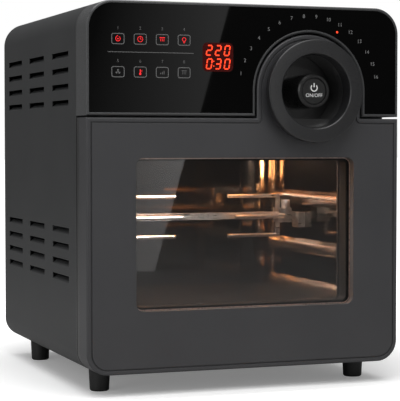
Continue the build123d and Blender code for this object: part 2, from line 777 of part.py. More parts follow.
def encoder():
    """The rotary encoder behind the frame, with its bush through it."""
    half = ENCODER_SIZE / 2
    back = FRAME_BACK + ENCODER_DEPTH
    body = box(KNOB_X - half, KNOB_X + half, FRAME_BACK, back, KNOB_Z - half, KNOB_Z + half)
    body += rod_y(BUSH_RADIUS, KNOB_X, FRAME_FRONT - BACKING_THICKNESS, FRAME_BACK, KNOB_Z)
    bore_end = back - BOARD_THICKNESS
    return body - rod_y(SHAFT_RADIUS + RUNNING, KNOB_X, DOOR_BACK, bore_end, KNOB_Z)


KNOB_FRONT = FRONT - KNOB_PROUD
KNOB_BACK = FRAME_FRONT - BACKING_THICKNESS - KNOB_TAIL_GAP
WEB_FRONT = KNOB_FRONT + BUTTON_RECESS
WEB_BACK = WEB_FRONT + KNOB_WEB
SHAFT_FRONT = WEB_BACK + SCREW_SINK


def encoder_shaft():
    """The encoder's spindle, which carries the knob."""
    end = FRAME_BACK + ENCODER_DEPTH - BOARD_THICKNESS - LOOSE
    return rod_y(SHAFT_RADIUS, KNOB_X, SHAFT_FRONT, end, KNOB_Z)


def knob():
    """The selector knob: a cup with a recess for the button and a hub on the spindle."""
    body = rod_y(KNOB_RADIUS, KNOB_X, KNOB_FRONT, KNOB_BACK, KNOB_Z)
    rims = body.edges().filter_by(GeomType.CIRCLE).sort_by(Axis.Y)
    body = chamfer(rims[0], KNOB_CHAMFER)
    body -= rod_y(BUTTON_RADIUS + LOOSE, KNOB_X, KNOB_FRONT, WEB_FRONT, KNOB_Z)
    body -= rod_y(KNOB_RADIUS - KNOB_WALL, KNOB_X, WEB_BACK, KNOB_BACK, KNOB_Z)
    body += rod_y(2 * SHAFT_RADIUS, KNOB_X, WEB_BACK, KNOB_BACK - LOOSE, KNOB_Z)
    body -= rod_y(SHAFT_RADIUS + FIXED, KNOB_X, WEB_BACK, KNOB_BACK, KNOB_Z)
    return body - rod_y(STEM_RADIUS + RUNNING, KNOB_X, WEB_FRONT, WEB_BACK, KNOB_Z)


def on_off_button():
    """The push button in the middle of the knob, on a stem through its web."""
    front = KNOB_FRONT + BUTTON_SINK
    cap = rod_y(BUTTON_RADIUS, KNOB_X, front, front + BUTTON_THICKNESS, KNOB_Z)
    rim = cap.edges().filter_by(GeomType.CIRCLE).sort_by(Axis.Y)[0]
    cap = chamfer(rim, BUTTON_CHAMFER)
    return cap + rod_y(STEM_RADIUS, KNOB_X, front + BUTTON_THICKNESS, WEB_BACK - LOOSE, KNOB_Z)


def knob_backing():
    """The dark disc behind the knob."""
    disc_front = FRAME_FRONT - BACKING_THICKNESS
    plate_disc = rod_y(BACKING_RADIUS, KNOB_X, disc_front, FRAME_FRONT, KNOB_Z)
    return plate_disc - rod_y(BUSH_RADIUS + FIXED, KNOB_X, disc_front, FRAME_FRONT, KNOB_Z)


def hinge_round():
    """What the door's rounded hinge edge takes off its square corner."""
    square = area(HINGE_Y, DOOR_BACK, BOTTOM, HINGE_Z)
    return bar(square - disc(HINGE_R, HINGE_Y, HINGE_Z), LEFT, RIGHT)


def hinge_cuts():
    """Slots for the hinge ears, open to the back and below, and holes for the pins."""
    reach = EAR_RADIUS + LOOSE
    half = EAR_THICKNESS / 2 + LOOSE
    cuts = []
    for x in EAR_XS:
        cuts.append(box(x - half, x + half, HINGE_Y - reach, DOOR_BACK, BOTTOM, HINGE_Z + reach))
        cuts.append(rod_x(PIN_RADIUS + FIXED, x - PIN_REACH, x + PIN_REACH, HINGE_Y, HINGE_Z))
    return cuts


TUNNEL_RADIUS = RING_BORE + TUNNEL_WALL
DOOR_SCREWS = [
    (sign * (RIGHT - DOOR_SCREW_INSET), z)
    for sign in (-1, 1)
    for z in (BOTTOM + DOOR_SCREW_LOW, WINDOW_Z, SEAM_LOW - DOOR_SCREW_DROP)
]


def door_panel():
    """The moulded front of the door, hollow behind, with window and tunnel walls."""
    outline = door_outline()
    panel = slab(outline, FRONT, LINER_FRONT)
    front = panel.faces().sort_by(Axis.Y)[0]
    panel = chamfer(front.outer_wire().edges(), DOOR_CHAMFER)
    groove = drawn_in(outline, GROOVE_INSET) - drawn_in(outline, GROOVE_INSET + GROOVE_WIDTH)
    panel -= slab(groove, FRONT, FRONT + GROOVE_DEPTH)
    pocket = drawn_in(outline, DOOR_WALL) - area(LEFT, RIGHT, BOTTOM, BOTTOM + SOLID_FOOT)
    pocket -= window_outline(GLASS_OVERLAP + DOOR_WALL)
    pocket -= disc(TUNNEL_RADIUS + DOOR_WALL, KNOB_X, KNOB_Z)
    for x, z in DOOR_SCREWS:
        pocket -= disc(BOSS_RADIUS, x, z)
    panel -= slab(pocket, FRONT + DOOR_WALL + GROOVE_DEPTH, LINER_FRONT)
    panel -= slab(window_outline(), FRONT, FRONT + WINDOW_RECESS)
    panel -= slab(window_outline(GLASS_OVERLAP), FRONT + WINDOW_RECESS, LINER_FRONT)
    panel -= rod_y(TUNNEL_RADIUS + FIXED, KNOB_X, FRONT, LINER_FRONT, KNOB_Z)
    for x, z in DOOR_SCREWS:
        tip = DOOR_BACK - SCREW_LENGTH
        panel -= rod_y(SCREW_RADIUS + FIXED, x, tip, LINER_FRONT, z)
    return (panel - hinge_cuts()) - hinge_round()


def door_liner():
    """The inner door frame that traps the inner glass."""
    liner = slab(door_outline(), LINER_FRONT, DOOR_BACK)
    lip = DOOR_BACK - GLASS_LIP
    liner -= slab(window_outline(-SPACER_SHOW), lip, DOOR_BACK)
    liner -= slab(window_outline(GLASS_OVERLAP), LINER_FRONT, lip)
    liner -= rod_y(TUNNEL_RADIUS + FIXED, KNOB_X, LINER_FRONT, DOOR_BACK, KNOB_Z)
    for x, z in DOOR_SCREWS:
        liner -= screw_hole_y(x, z, DOOR_BACK, LINER_FRONT, -1)
    for x, z in MAGNET_POINTS:
        liner -= rod_y(MAGNET_RADIUS + FIXED, x, DOOR_BACK - MAGNET_DEPTH, DOOR_BACK, z)
    return (liner - hinge_cuts()) - hinge_round()


def outer_glass():
    """The outer pane, let in behind the door's face."""
    front = FRONT + WINDOW_RECESS
    return slab(window_outline(GLASS_OVERLAP - FIXED), front, front + GLASS_THICKNESS)


def inner_glass():
    """The inner pane, seated on the liner's lip."""
    back = DOOR_BACK - GLASS_LIP
    return slab(window_outline(GLASS_OVERLAP - FIXED), back - GLASS_THICKNESS, back)


def glass_spacer():
    """The dark frame that keeps the two panes apart."""
    front = FRONT + WINDOW_RECESS + GLASS_THICKNESS
    back = DOOR_BACK - GLASS_LIP - GLASS_THICKNESS
    ring = window_outline(GLASS_OVERLAP - FIXED) - window_outline(-SPACER_SHOW)
    return slab(ring, front, back)


def handle_ring():
    """The ring handle: a rounded lip on a narrower neck, so that fingers hook behind it."""
    front = FRONT - RING_PROUD
    lip = rod_y(RING_RADIUS, KNOB_X, front, front + RING_LIP, KNOB_Z)
    lip = fillet(lip.edges().filter_by(GeomType.CIRCLE), RING_ROUND)
    ring = lip + rod_y(RING_NECK, KNOB_X, front + RING_LIP, FRONT, KNOB_Z)
    ring -= rod_y(RING_BORE, KNOB_X, front, FRONT, KNOB_Z)
    mouth = ring.faces().sort_by(Axis.Y)[0].inner_wires()[0]
    return chamfer(mouth.edges(), RING_MOUTH)


def handle_tunnel():
    """The glossy sleeve through the door, with a finger ledge low inside."""
    tube = rod_y(TUNNEL_RADIUS, KNOB_X, FRONT, DOOR_BACK, KNOB_Z)
    tube -= rod_y(RING_BORE, KNOB_X, FRONT, DOOR_BACK, KNOB_Z)
    below = area(KNOB_X - RING_BORE, KNOB_X + RING_BORE, KNOB_Z - 2 * RING_BORE, KNOB_Z - LEDGE_DROP)
    ledge = disc(RING_BORE + TUNNEL_WALL / 2, KNOB_X, KNOB_Z) & below
    return tube + slab(ledge, FRONT + LEDGE_RECESS, DOOR_BACK)


def hinge_bracket(x):
    """A steel ear through the frame, welded to a plate behind it."""
    half = EAR_THICKNESS / 2
    ear = area(HINGE_Y, FRAME_BACK, HINGE_Z - EAR_RADIUS, HINGE_Z + EAR_RADIUS)
    ear = (ear + disc(EAR_RADIUS, HINGE_Y, HINGE_Z)) - disc(PIN_RADIUS + RUNNING, HINGE_Y, HINGE_Z)
    low = BASE_TOP + FLANGE_WIDTH - BASE_SHEET + LOOSE
    sides = (x - HINGE_PLATE_WIDTH / 2, x + HINGE_PLATE_WIDTH / 2)
    back = box(*sides, FRAME_BACK, FRAME_BACK + FRAME_THICKNESS, low, low + HINGE_PLATE_HEIGHT)
    return bar(ear, x - half, x + half) + back


def hinge_pin(x):
    """A pin held in the door, free in the ear."""
    reach = PIN_REACH - LOOSE
    return rod_x(PIN_RADIUS, x - reach, x + reach, HINGE_Y, HINGE_Z)


def door_seal():
    """The soft seal round the mouth of the chamber."""
    ring = frame_opening(SEAL_OUTSET + SEAL_WIDTH) - frame_opening(SEAL_OUTSET)
    return slab(ring, DOOR_BACK + LOOSE, FRAME_FRONT)


BUSH_X_RADIUS = SOCKET_RADIUS + BUSH_WALL
BUSH_FLANGE = BUSH_X_RADIUS + BUSH_RIM
LAMP_Y = CAVITY_BACK - LAMP_FROM_BACK
LAMP_Z = CAVITY_TOP - LAMP_DROP
PROBE_Z = CAVITY_TOP - PROBE_DROP
WALL_OUTSIDE = -CAVITY_SIDE - CAVITY_SHEET


def heater_housing():
    """The pan over the heater and fan, with holes for shaft and heater ends."""
    pan = rod_z(HEATER_RADIUS + CAVITY_SHEET, 0, FAN_Y, HEATER_LOW, HEATER_TOP)
    pan += rod_z(HEATER_RADIUS + FLANGE_WIDTH, 0, FAN_Y, HEATER_LOW, HEATER_LOW + CAVITY_SHEET)
    pan -= rod_z(HEATER_RADIUS, 0, FAN_Y, HEATER_LOW, HEATER_TOP - CAVITY_SHEET)
    pan -= rod_z(SHAFT_RADIUS + SCREW_SINK, 0, FAN_Y, HEATER_TOP - CAVITY_SHEET, HEATER_TOP)
    for x, y in coil_ends():
        pan -= rod_z(COIL_TUBE + FIXED, x, y, HEATER_TOP - CAVITY_SHEET, HEATER_TOP)
    return pan


def coil_radii():
    """The radius of each half turn of the heater, from outside in."""
    return [COIL_OUTER - COIL_STEP * half for half in range(COIL_TURNS)]


def coil_ends():
    """Where the heater's two ends turn up through the pan."""
    x = COIL_OUTER
    points = [(x, FAN_Y)]
    for number, radius in enumerate(coil_radii()):
        x += -2 * radius if number % 2 == 0 else 2 * radius
    points.append((x, FAN_Y))
    return points


def heater_coil():
    """A flat spiral of half turns under the fan, with both ends turned up."""
    z = HEATER_LOW + COIL_HEIGHT
    x = COIL_OUTER
    arcs = []
    for number, radius in enumerate(coil_radii()):
        side = -1 if number % 2 == 0 else 1
        end = x + side * 2 * radius
        top = ((x + end) / 2, FAN_Y - side * radius, z)
        arcs.append(ThreePointArc((x, FAN_Y, z), top, (end, FAN_Y, z)))
        x = end
    path = Wire([arc.edge() for arc in arcs])
    start = Plane(origin=(COIL_OUTER, FAN_Y, z), z_dir=(0, 1, 0))
    coil = sweep(start * Circle(COIL_TUBE), path=path)
    for x, y in coil_ends():
        coil += Pos(x, y, z) * Sphere(COIL_TUBE)
        coil += rod_z(COIL_TUBE, x, y, z, HEATER_TOP + TERMINAL_HEIGHT)
    return coil


def fan_guard():
    """The slotted guard under the heater."""
    guard = disc(GUARD_RADIUS, 0, FAN_Y)
    slots = []
    for number in range(GUARD_SLOTS):
        angle = 360 * number / GUARD_SLOTS
        outer = Pos(GUARD_RADIUS * 0.7, 0) * SlotOverall(GUARD_RADIUS * 0.42, GUARD_SLOT)
        slots.append(Pos(0, FAN_Y) * Rot(0, 0, angle) * outer)
        if number % 2 == 0:
            inner = Pos(GUARD_RADIUS * 0.32, 0) * SlotOverall(GUARD_RADIUS * 0.26, GUARD_SLOT)
            slots.append(Pos(0, FAN_Y) * Rot(0, 0, angle) * inner)
    return plate(guard - slots, CAVITY_TOP - CAVITY_SHEET, CAVITY_TOP)


def convection_fan():
    """Radial blades hung from a disc, with a hub on the shaft."""
    low = HEATER_LOW + FAN_LOW
    high = low + BLADE_HEIGHT
    fan = rod_z(FAN_RADIUS, 0, FAN_Y, high, high + FAN_SHEET)
    fan += rod_z(FAN_HUB, 0, FAN_Y, low, high)
    for number in range(FAN_BLADES):
        blade = box(FAN_HUB - BLADE_ROOT, FAN_RADIUS - BLADE_MARGIN, -FAN_SHEET / 2,
                    FAN_SHEET / 2, low, high)
        fan += Pos(0, FAN_Y, 0) * Rot(0, 0, 360 * number / FAN_BLADES) * blade
    return fan - rod_z(SHAFT_RADIUS + FIXED, 0, FAN_Y, low, high + FAN_SHEET)


BRIDGE_TOP = HEATER_TOP + BRIDGE_HEIGHT
MOTOR_TOP = BRIDGE_TOP + MOTOR_HEIGHT
COOLING_LOW = MOTOR_TOP + COOLING_GAP


def fan_shaft():
    """The motor's shaft, which carries both fans."""
    return rod_z(SHAFT_RADIUS, 0, FAN_Y, HEATER_LOW + FAN_LOW, COOLING_LOW + COOLING_HEIGHT)


def cooling_fan():
    """The small fan above the motor that cools the top compartment."""
    low = COOLING_LOW
    high = low + COOLING_HEIGHT
    fan = rod_z(FAN_HUB, 0, FAN_Y, low, high)
    fan += rod_z(COOLING_RADIUS, 0, FAN_Y, low, low + FAN_SHEET)
    for number in range(FAN_BLADES):
        blade = box(FAN_HUB - BLADE_ROOT, COOLING_RADIUS - COOLING_MARGIN, -FAN_SHEET / 2,
                    FAN_SHEET / 2, low, high)
        fan += Pos(0, FAN_Y, 0) * Rot(0, 0, 360 * number / FAN_BLADES) * blade
    return fan - rod_z(SHAFT_RADIUS + FIXED, 0, FAN_Y, low, high)


def fan_motor():
    """The shaded-pole motor on its bridge, bored for the running shaft."""
    motor = rod_z(MOTOR_RADIUS, 0, FAN_Y, BRIDGE_TOP, MOTOR_TOP)
    ends = motor.edges().filter_by(GeomType.CIRCLE)
    motor = fillet(ends, MOTOR_ROUND)
    return motor - rod_z(SHAFT_RADIUS + RUNNING, 0, FAN_Y, BRIDGE_TOP, MOTOR_TOP)


def motor_bridge():
    """A folded bridge that stands on the heater pan and carries the motor."""
    half = BRIDGE_LENGTH / 2
    front = FAN_Y - BRIDGE_WIDTH / 2
    back = FAN_Y + BRIDGE_WIDTH / 2
    bridge = box(-half, half, front, back, HEATER_TOP, BRIDGE_TOP)
    bridge -= box(-half + BASE_SHEET, half - BASE_SHEET, front, back, HEATER_TOP,
                  BRIDGE_TOP - BASE_SHEET)
    return bridge - rod_z(SHAFT_RADIUS + SCREW_SINK, 0, FAN_Y, HEATER_TOP, BRIDGE_TOP)


def thermal_cutout():
    """The safety cut-out on the heater pan."""
    y = FAN_Y + HEATER_RADIUS * 0.7
    body = rod_z(CUTOUT_RADIUS, 0, y, HEATER_TOP, HEATER_TOP + CUTOUT_HEIGHT)
    return body + box(-CUTOUT_HALF, CUTOUT_HALF, y - CUTOUT_TAB, y + CUTOUT_TAB, HEATER_TOP,
                      HEATER_TOP + CUTOUT_SHEET)


def spit():
    """The square rotisserie spit, with a round journal at the right."""
    end = CAVITY_SIDE - SUPPORT_THICKNESS - LOOSE
    half = SPIT_SIZE / 2
    rod = box(SOCKET_BOTTOM, end, SPIT_Y - half, SPIT_Y + half, SPIT_Z - half, SPIT_Z + half)
    return rod + rod_x(JOURNAL_RADIUS, end, CAVITY_SIDE - 2 * LOOSE, SPIT_Y, SPIT_Z)


def spit_bore(size, x0, x1):
    """The square hole that fits the spit."""
    half = size / 2 + FIXED
    return box(x0, x1, SPIT_Y - half, SPIT_Y + half, SPIT_Z - half, SPIT_Z + half)


SOCKET_BOTTOM = WALL_OUTSIDE - SOCKET_DEPTH
SOCKET_BACK = SOCKET_BOTTOM - SOCKET_FLOOR
SOCKET_FRONT = SOCKET_REACH - CAVITY_SIDE
GEAR_PLATE = WALL_OUTSIDE - GEAR_STANDOFF
GEAR_BACK = GEAR_PLATE - BASE_SHEET - GEAR_DEPTH


def fork(x, inward):
    """A four-pronged meat fork with a square-bored hub."""
    hub = box(x - FORK_HUB / 2, x + FORK_HUB / 2, SPIT_Y - FORK_HUB / 2, SPIT_Y + FORK_HUB / 2,
              SPIT_Z - FORK_HUB / 2, SPIT_Z + FORK_HUB / 2)
    face = x + inward * FORK_HUB / 2
    root = sorted((face, face - inward * 2 * PRONG_RADIUS))
    half = PRONG_RADIUS
    hub += box(*root, SPIT_Y - FORK_HALF, SPIT_Y + FORK_HALF, SPIT_Z - half, SPIT_Z + half)
    hub += box(*root, SPIT_Y - half, SPIT_Y + half, SPIT_Z - FORK_HALF, SPIT_Z + FORK_HALF)
    tip = sorted((root[0] if inward > 0 else root[1], face + inward * PRONG_LENGTH))
    for dy, dz in ((1, 0), (-1, 0), (0, 1), (0, -1)):
        reach = FORK_HALF - PRONG_RADIUS
        hub += rod_x(PRONG_RADIUS, *tip, SPIT_Y + dy * reach, SPIT_Z + dz * reach)
    hub -= spit_bore(SPIT_SIZE, x - FORK_HUB, x + FORK_HUB)
    return hub - rod_z(THUMB_SHANK + FIXED, thumb_x(x, inward), SPIT_Y, SPIT_Z,
                       SPIT_Z + FORK_HALF + PRONG_RADIUS)


def thumb_x(x, inward):
    """The thumbscrew sits towards the outer end of the hub, clear of the prong root."""
    return x - inward * (FORK_HUB / 2 - THUMB_SHANK - 2 * FIXED - THUMB_MARGIN)


def thumbscrew(x, inward):
    """A thumbscrew that clamps the fork's hub on the spit."""
    place = thumb_x(x, inward)
    low = SPIT_Z + SPIT_SIZE / 2
    top = SPIT_Z + FORK_HUB / 2
    shank = rod_z(THUMB_SHANK, place, SPIT_Y, low, top)
    return shank + rod_z(THUMB_RADIUS, place, SPIT_Y, top, top + THUMB_HEIGHT)


def drive_socket():
    """The square socket that turns the spit, on the gear motor's shaft."""
    socket = rod_x(SOCKET_RADIUS, SOCKET_BACK, SOCKET_FRONT, SPIT_Y, SPIT_Z)
    socket -= spit_bore(SPIT_SIZE, SOCKET_BOTTOM, SOCKET_FRONT)
    return socket + rod_x(DRIVE_RADIUS, GEAR_BACK + SCREW_SINK, SOCKET_BACK, SPIT_Y, SPIT_Z)


def socket_bush():
    """The flanged bush in the chamber wall that the socket runs in."""
    inside = BUSH_WALL - CAVITY_SIDE
    bush = rod_x(BUSH_X_RADIUS, WALL_OUTSIDE - BUSH_TAIL, inside, SPIT_Y, SPIT_Z)
    bush += rod_x(BUSH_FLANGE, -CAVITY_SIDE, inside, SPIT_Y, SPIT_Z)
    return bush - rod_x(SOCKET_RADIUS + RUNNING, WALL_OUTSIDE - BUSH_TAIL, inside, SPIT_Y, SPIT_Z)


def gear_motor():
    """The slow gear motor that turns the spit."""
    motor = rod_x(GEAR_RADIUS, GEAR_BACK, GEAR_PLATE - BASE_SHEET, SPIT_Y, SPIT_Z)
    return motor - rod_x(DRIVE_RADIUS + RUNNING, GEAR_BACK + SCREW_SINK - LOOSE, GEAR_PLATE,
                         SPIT_Y, SPIT_Z)


def gear_bracket():
    """The plate and four posts that carry the gear motor off the chamber wall."""
    reach = GEAR_RADIUS + GEAR_POST_OUT
    side = reach + GEAR_POST_OUT
    half = GEAR_RADIUS + GEAR_EDGE
    sheet = box(GEAR_PLATE - BASE_SHEET, GEAR_PLATE, SPIT_Y - side, SPIT_Y + side,
                SPIT_Z - half, SPIT_Z + half)
    sheet -= rod_x(2 * DRIVE_RADIUS, GEAR_PLATE - BASE_SHEET, GEAR_PLATE, SPIT_Y, SPIT_Z)
    for y in (SPIT_Y - reach, SPIT_Y + reach):
        for z in (SPIT_Z - GEAR_POST_LOW, SPIT_Z + GEAR_POST_HIGH):
            sheet += rod_x(POST_RADIUS, GEAR_PLATE, WALL_OUTSIDE, y, z)
    return sheet


def spit_support():
    """The notched rest for the spit's journal on the right wall."""
    inner = CAVITY_SIDE - SUPPORT_THICKNESS
    rest = box(inner, CAVITY_SIDE, SPIT_Y - REST_HALF, SPIT_Y + REST_HALF, SPIT_Z - REST_LOW,
               SPIT_Z + REST_HIGH)
    notch = JOURNAL_RADIUS + RUNNING
    rest -= rod_x(notch, inner, CAVITY_SIDE, SPIT_Y, SPIT_Z)
    return rest - box(inner, CAVITY_SIDE, SPIT_Y - notch, SPIT_Y + notch, SPIT_Z,
                      SPIT_Z + REST_HIGH)


def lamp_holder():
    """The cup behind the chamber wall that holds the lamp."""
    back = WALL_OUTSIDE - LAMP_LENGTH
    cup = rod_x(LAMP_RADIUS + LAMP_CUP, back, WALL_OUTSIDE, LAMP_Y, LAMP_Z)
    return cup - rod_x(LAMP_RADIUS, back + LAMP_FLOOR, WALL_OUTSIDE, LAMP_Y, LAMP_Z)


def lamp():
    """The small capsule lamp in its cup."""
    back = WALL_OUTSIDE - LAMP_LENGTH + LAMP_FLOOR
    neck = back + LAMP_CAP_LENGTH
    cap = rod_x(LAMP_CAP, back, neck, LAMP_Y, LAMP_Z)
    return cap + rod_x(LAMP_BULB, neck, back + LAMP_BULB_END, LAMP_Y, LAMP_Z)


def lamp_glass():
    """The clear cover over the lamp, inside the chamber."""
    return rod_x(LAMP_RADIUS + LAMP_RIM, -CAVITY_SIDE, LAMP_GLASS - CAVITY_SIDE, LAMP_Y, LAMP_Z)


def temperature_probe():
    """The probe through the right wall."""
    probe = rod_x(PROBE_RADIUS, CAVITY_SIDE - PROBE_REACH, CAVITY_SIDE + PROBE_TAIL, LAMP_Y,
                  PROBE_Z)
    flange = CAVITY_SIDE + CAVITY_SHEET
    return probe + rod_x(PROBE_FLANGE, flange, flange + PROBE_SHEET, LAMP_Y, PROBE_Z)


def cord_gland():
    """The moulded gland in the rear panel."""
    z = BOTTOM + GLAND_HEIGHT
    gland = rod_y(GLAND_RADIUS, GLAND_X, BACK - GLAND_LENGTH, BACK, z)
    gland += rod_y(GLAND_RADIUS + GLAND_RIM, GLAND_X, REAR_FRONT - GLAND_FLANGE, REAR_FRONT, z)
    return gland - rod_y(CORD_RADIUS, GLAND_X, BACK - GLAND_LENGTH, BACK, z)


def door_switch():
    """The magnetic door switch behind the frame."""
    x, z = MAGNET_POINTS[1]
    return box(x - SWITCH_HALF, x + SWITCH_HALF, FRAME_BACK, FRAME_BACK + 2 * SWITCH_HALF,
               z - SWITCH_REACH, z + SWITCH_REACH)


def add(name, shapes):
    """Keeps one named sub-part, which may be a group of equal pieces."""
    PARTS[name] = shapes


add("outer_shell", outer_shell())
add("rear_panel", rear_panel())
add("base_plate", base_plate())
add("feet", [foot(x, y) for x, y in FOOT_POINTS])
add("foot_screws", foot_screws())
add("front_frame", front_frame())
add("housing_screws", frame_screws() + rear_screws())
add("control_bezel", control_bezel())
add("control_glass", control_glass())
add("control_board", slab(board_outline(), BOARD_FRONT, BOARD_BACK))
display_z = TOP - DISPLAY_DROP
add("display_module", box(
    DISPLAY_X - DISPLAY_WIDTH / 2, DISPLAY_X + DISPLAY_WIDTH / 2, GLASS_BACK, BOARD_FRONT,
    display_z - DISPLAY_HEIGHT / 2, display_z + DISPLAY_HEIGHT / 2))
add("touch_springs", touch_springs())
add("board_posts", board_posts())
add("power_board", power_board())
add("encoder", encoder())
add("encoder_shaft", encoder_shaft())
add("knob_backing", knob_backing())
add("knob", knob())
add("on_off_button", on_off_button())
add("door_panel", door_panel())
add("door_liner", door_liner())
add("door_screws", [screw_y(x, z, DOOR_BACK, SCREW_LENGTH, -1) for x, z in DOOR_SCREWS])
add("outer_glass", outer_glass())
add("inner_glass", inner_glass())
add("glass_spacer", glass_spacer())
add("handle_ring", handle_ring())
add("handle_tunnel", handle_tunnel())
add("hinge_brackets", [hinge_bracket(x) for x in EAR_XS])
add("hinge_pins", [hinge_pin(x) for x in EAR_XS])
add("door_seal", door_seal())
add("door_magnets", [
    rod_y(MAGNET_RADIUS, x, DOOR_BACK - MAGNET_DEPTH, DOOR_BACK, z) for x, z in MAGNET_POINTS])
add("catch_plates", [
    rod_y(MAGNET_RADIUS, x, FRAME_FRONT, FRAME_FRONT + CATCH_DEPTH, z) for x, z in MAGNET_POINTS])
add("door_switch", door_switch())
add("cavity_wall", cavity_wall())
add("cavity_floor", plate(cavity_outline(CAVITY_FLANGE), CAVITY_FLOOR - CAVITY_SHEET, CAVITY_FLOOR))
add("cavity_ceiling", cavity_ceiling())
add("cavity_brackets", [cavity_bracket(-1), cavity_bracket(1)])
add("drip_tray", drip_tray())
add("heater_housing", heater_housing())
add("heater_coil", heater_coil())
add("fan_guard", fan_guard())
add("convection_fan", convection_fan())
add("fan_shaft", fan_shaft())
add("cooling_fan", cooling_fan())
add("fan_motor", fan_motor())
add("motor_bridge", motor_bridge())
add("thermal_cutout", thermal_cutout())
add("spit", spit())
add("forks", [fork(FORK_RIGHT_X, -1), fork(FORK_LEFT_X, 1)])
add("thumbscrews", [thumbscrew(FORK_RIGHT_X, -1), thumbscrew(FORK_LEFT_X, 1)])
add("drive_socket", drive_socket())
add("socket_bush", socket_bush())
add("gear_motor", gear_motor())
add("gear_bracket", gear_bracket())
add("spit_support", spit_support())
add("lamp_holder", lamp_holder())
add("lamp", lamp())
add("lamp_glass", lamp_glass())
add("temperature_probe", temperature_probe())
add("cord_gland", cord_gland())

for name, shapes in PARTS.items():
    pieces = shapes if isinstance(shapes, list) else [shapes]
    solids = [solid for piece in pieces for solid in piece.solids()]
    whole = solids[0] if len(solids) == 1 else Compound(children=solids)
    export_step(whole, f"parts/{name}.step")
print(len(PARTS), "sub-parts")
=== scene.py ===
# %% [markdown]
# An air fryer oven, dressed for its picture.
#
# The solid pieces come in already made, at their real size. This script gives each
# one its finish, adds the thin things that are printed or lit on the control panel,
# and sets up a plain studio.

# %% Start from the solid model
import bpy
import bmesh
from math import atan2, cos, degrees, radians, sin
from mathutils import Matrix, Vector


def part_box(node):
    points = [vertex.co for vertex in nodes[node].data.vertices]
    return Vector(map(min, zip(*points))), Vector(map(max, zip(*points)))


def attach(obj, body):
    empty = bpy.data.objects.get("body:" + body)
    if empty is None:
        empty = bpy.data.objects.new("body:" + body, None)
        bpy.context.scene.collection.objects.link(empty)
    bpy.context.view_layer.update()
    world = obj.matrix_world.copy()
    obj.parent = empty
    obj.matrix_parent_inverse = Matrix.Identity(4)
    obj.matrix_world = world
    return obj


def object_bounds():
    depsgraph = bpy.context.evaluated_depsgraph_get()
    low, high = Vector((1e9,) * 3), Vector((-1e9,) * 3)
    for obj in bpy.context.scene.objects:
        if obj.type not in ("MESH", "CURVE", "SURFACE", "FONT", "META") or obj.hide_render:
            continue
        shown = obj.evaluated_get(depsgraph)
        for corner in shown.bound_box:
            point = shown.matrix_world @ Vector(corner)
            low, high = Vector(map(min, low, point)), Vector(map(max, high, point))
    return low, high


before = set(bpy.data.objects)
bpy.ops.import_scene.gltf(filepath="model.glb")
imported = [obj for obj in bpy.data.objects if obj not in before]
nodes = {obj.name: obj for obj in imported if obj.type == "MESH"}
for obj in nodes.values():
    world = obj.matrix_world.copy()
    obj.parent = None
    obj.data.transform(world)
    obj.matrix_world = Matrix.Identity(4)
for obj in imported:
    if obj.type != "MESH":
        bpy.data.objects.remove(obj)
solid_low, solid_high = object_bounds()
print("pieces loaded:", len(nodes))
print("solid box:", [round(value, 4) for value in (*solid_low, *solid_high)])

# %% [markdown]
# The solid pieces arrive as loose triangles, so a round corner looks faceted. Two
# modifiers mend that without moving a vertex: Weld joins the triangles, and a small
# node group shades smooth everywhere except over sharp edges.

# %% Smooth shading with crisp edges
MM = 0.001
SHARP_ANGLE = radians(28)


def smooth_group():
    group = bpy.data.node_groups.new("smooth_but_crisp", "GeometryNodeTree")
    group.interface.new_socket("Geometry", in_out="INPUT", socket_type="NodeSocketGeometry")
    group.interface.new_socket("Geometry", in_out="OUTPUT", socket_type="NodeSocketGeometry")
    start = group.nodes.new("NodeGroupInput")
    end = group.nodes.new("NodeGroupOutput")
    faces = group.nodes.new("GeometryNodeSetShadeSmooth")
    edges = group.nodes.new("GeometryNodeSetShadeSmooth")
    edges.domain = "EDGE"
    edges.inputs["Shade Smooth"].default_value = False
    angle = group.nodes.new("GeometryNodeInputMeshEdgeAngle")
    sharp = group.nodes.new("FunctionNodeCompare")
    sharp.operation = "GREATER_THAN"
    sharp.inputs["B"].default_value = SHARP_ANGLE
    join = group.links.new
    join(start.outputs[0], faces.inputs["Geometry"])
    join(faces.outputs[0], edges.inputs["Geometry"])
    join(angle.outputs["Unsigned Angle"], sharp.inputs["A"])
    join(sharp.outputs[0], edges.inputs["Selection"])
    join(edges.outputs[0], end.inputs[0])
    return group


smooth_but_crisp = smooth_group()


def smooth(piece):
    weld = piece.modifiers.new("join triangles", "WELD")
    weld.merge_threshold = 0.002 * MM
    shade = piece.modifiers.new("smooth but crisp", "NODES")
    shade.node_group = smooth_but_crisp


for piece in nodes.values():
    smooth(piece)
print("smoothed:", len(nodes))

# %% [markdown]
# Every finish below is a Principled shader with a little life in it: a colour that
# drifts, a roughness that drifts, and a fine bump. One helper wires these three, and
# each finish then says only how large and how strong they are on the real surface.

# %% A helper for finishes
NOISE_LOW, NOISE_HIGH = 0.3, 0.7


def new_finish(name):
    material = bpy.data.materials.new(name)
    material.use_nodes = True
    tree = material.node_tree
    shader = tree.nodes["Principled BSDF"]
    place = tree.nodes.new("ShaderNodeTexCoord")
    return material, tree, shader, place.outputs["Object"]


def stretched(tree, place, scale):
    mapping = tree.nodes.new("ShaderNodeMapping")
    mapping.inputs["Scale"].default_value = scale
    tree.links.new(place, mapping.inputs["Vector"])
    return mapping.outputs["Vector"]


def noise(tree, place, scale, detail=3.0, rough=0.5):
    node = tree.nodes.new("ShaderNodeTexNoise")
    node.inputs["Scale"].default_value = scale
    node.inputs["Detail"].default_value = detail
    node.inputs["Roughness"].default_value = rough
    tree.links.new(place, node.inputs["Vector"])
    return node.outputs["Fac"]


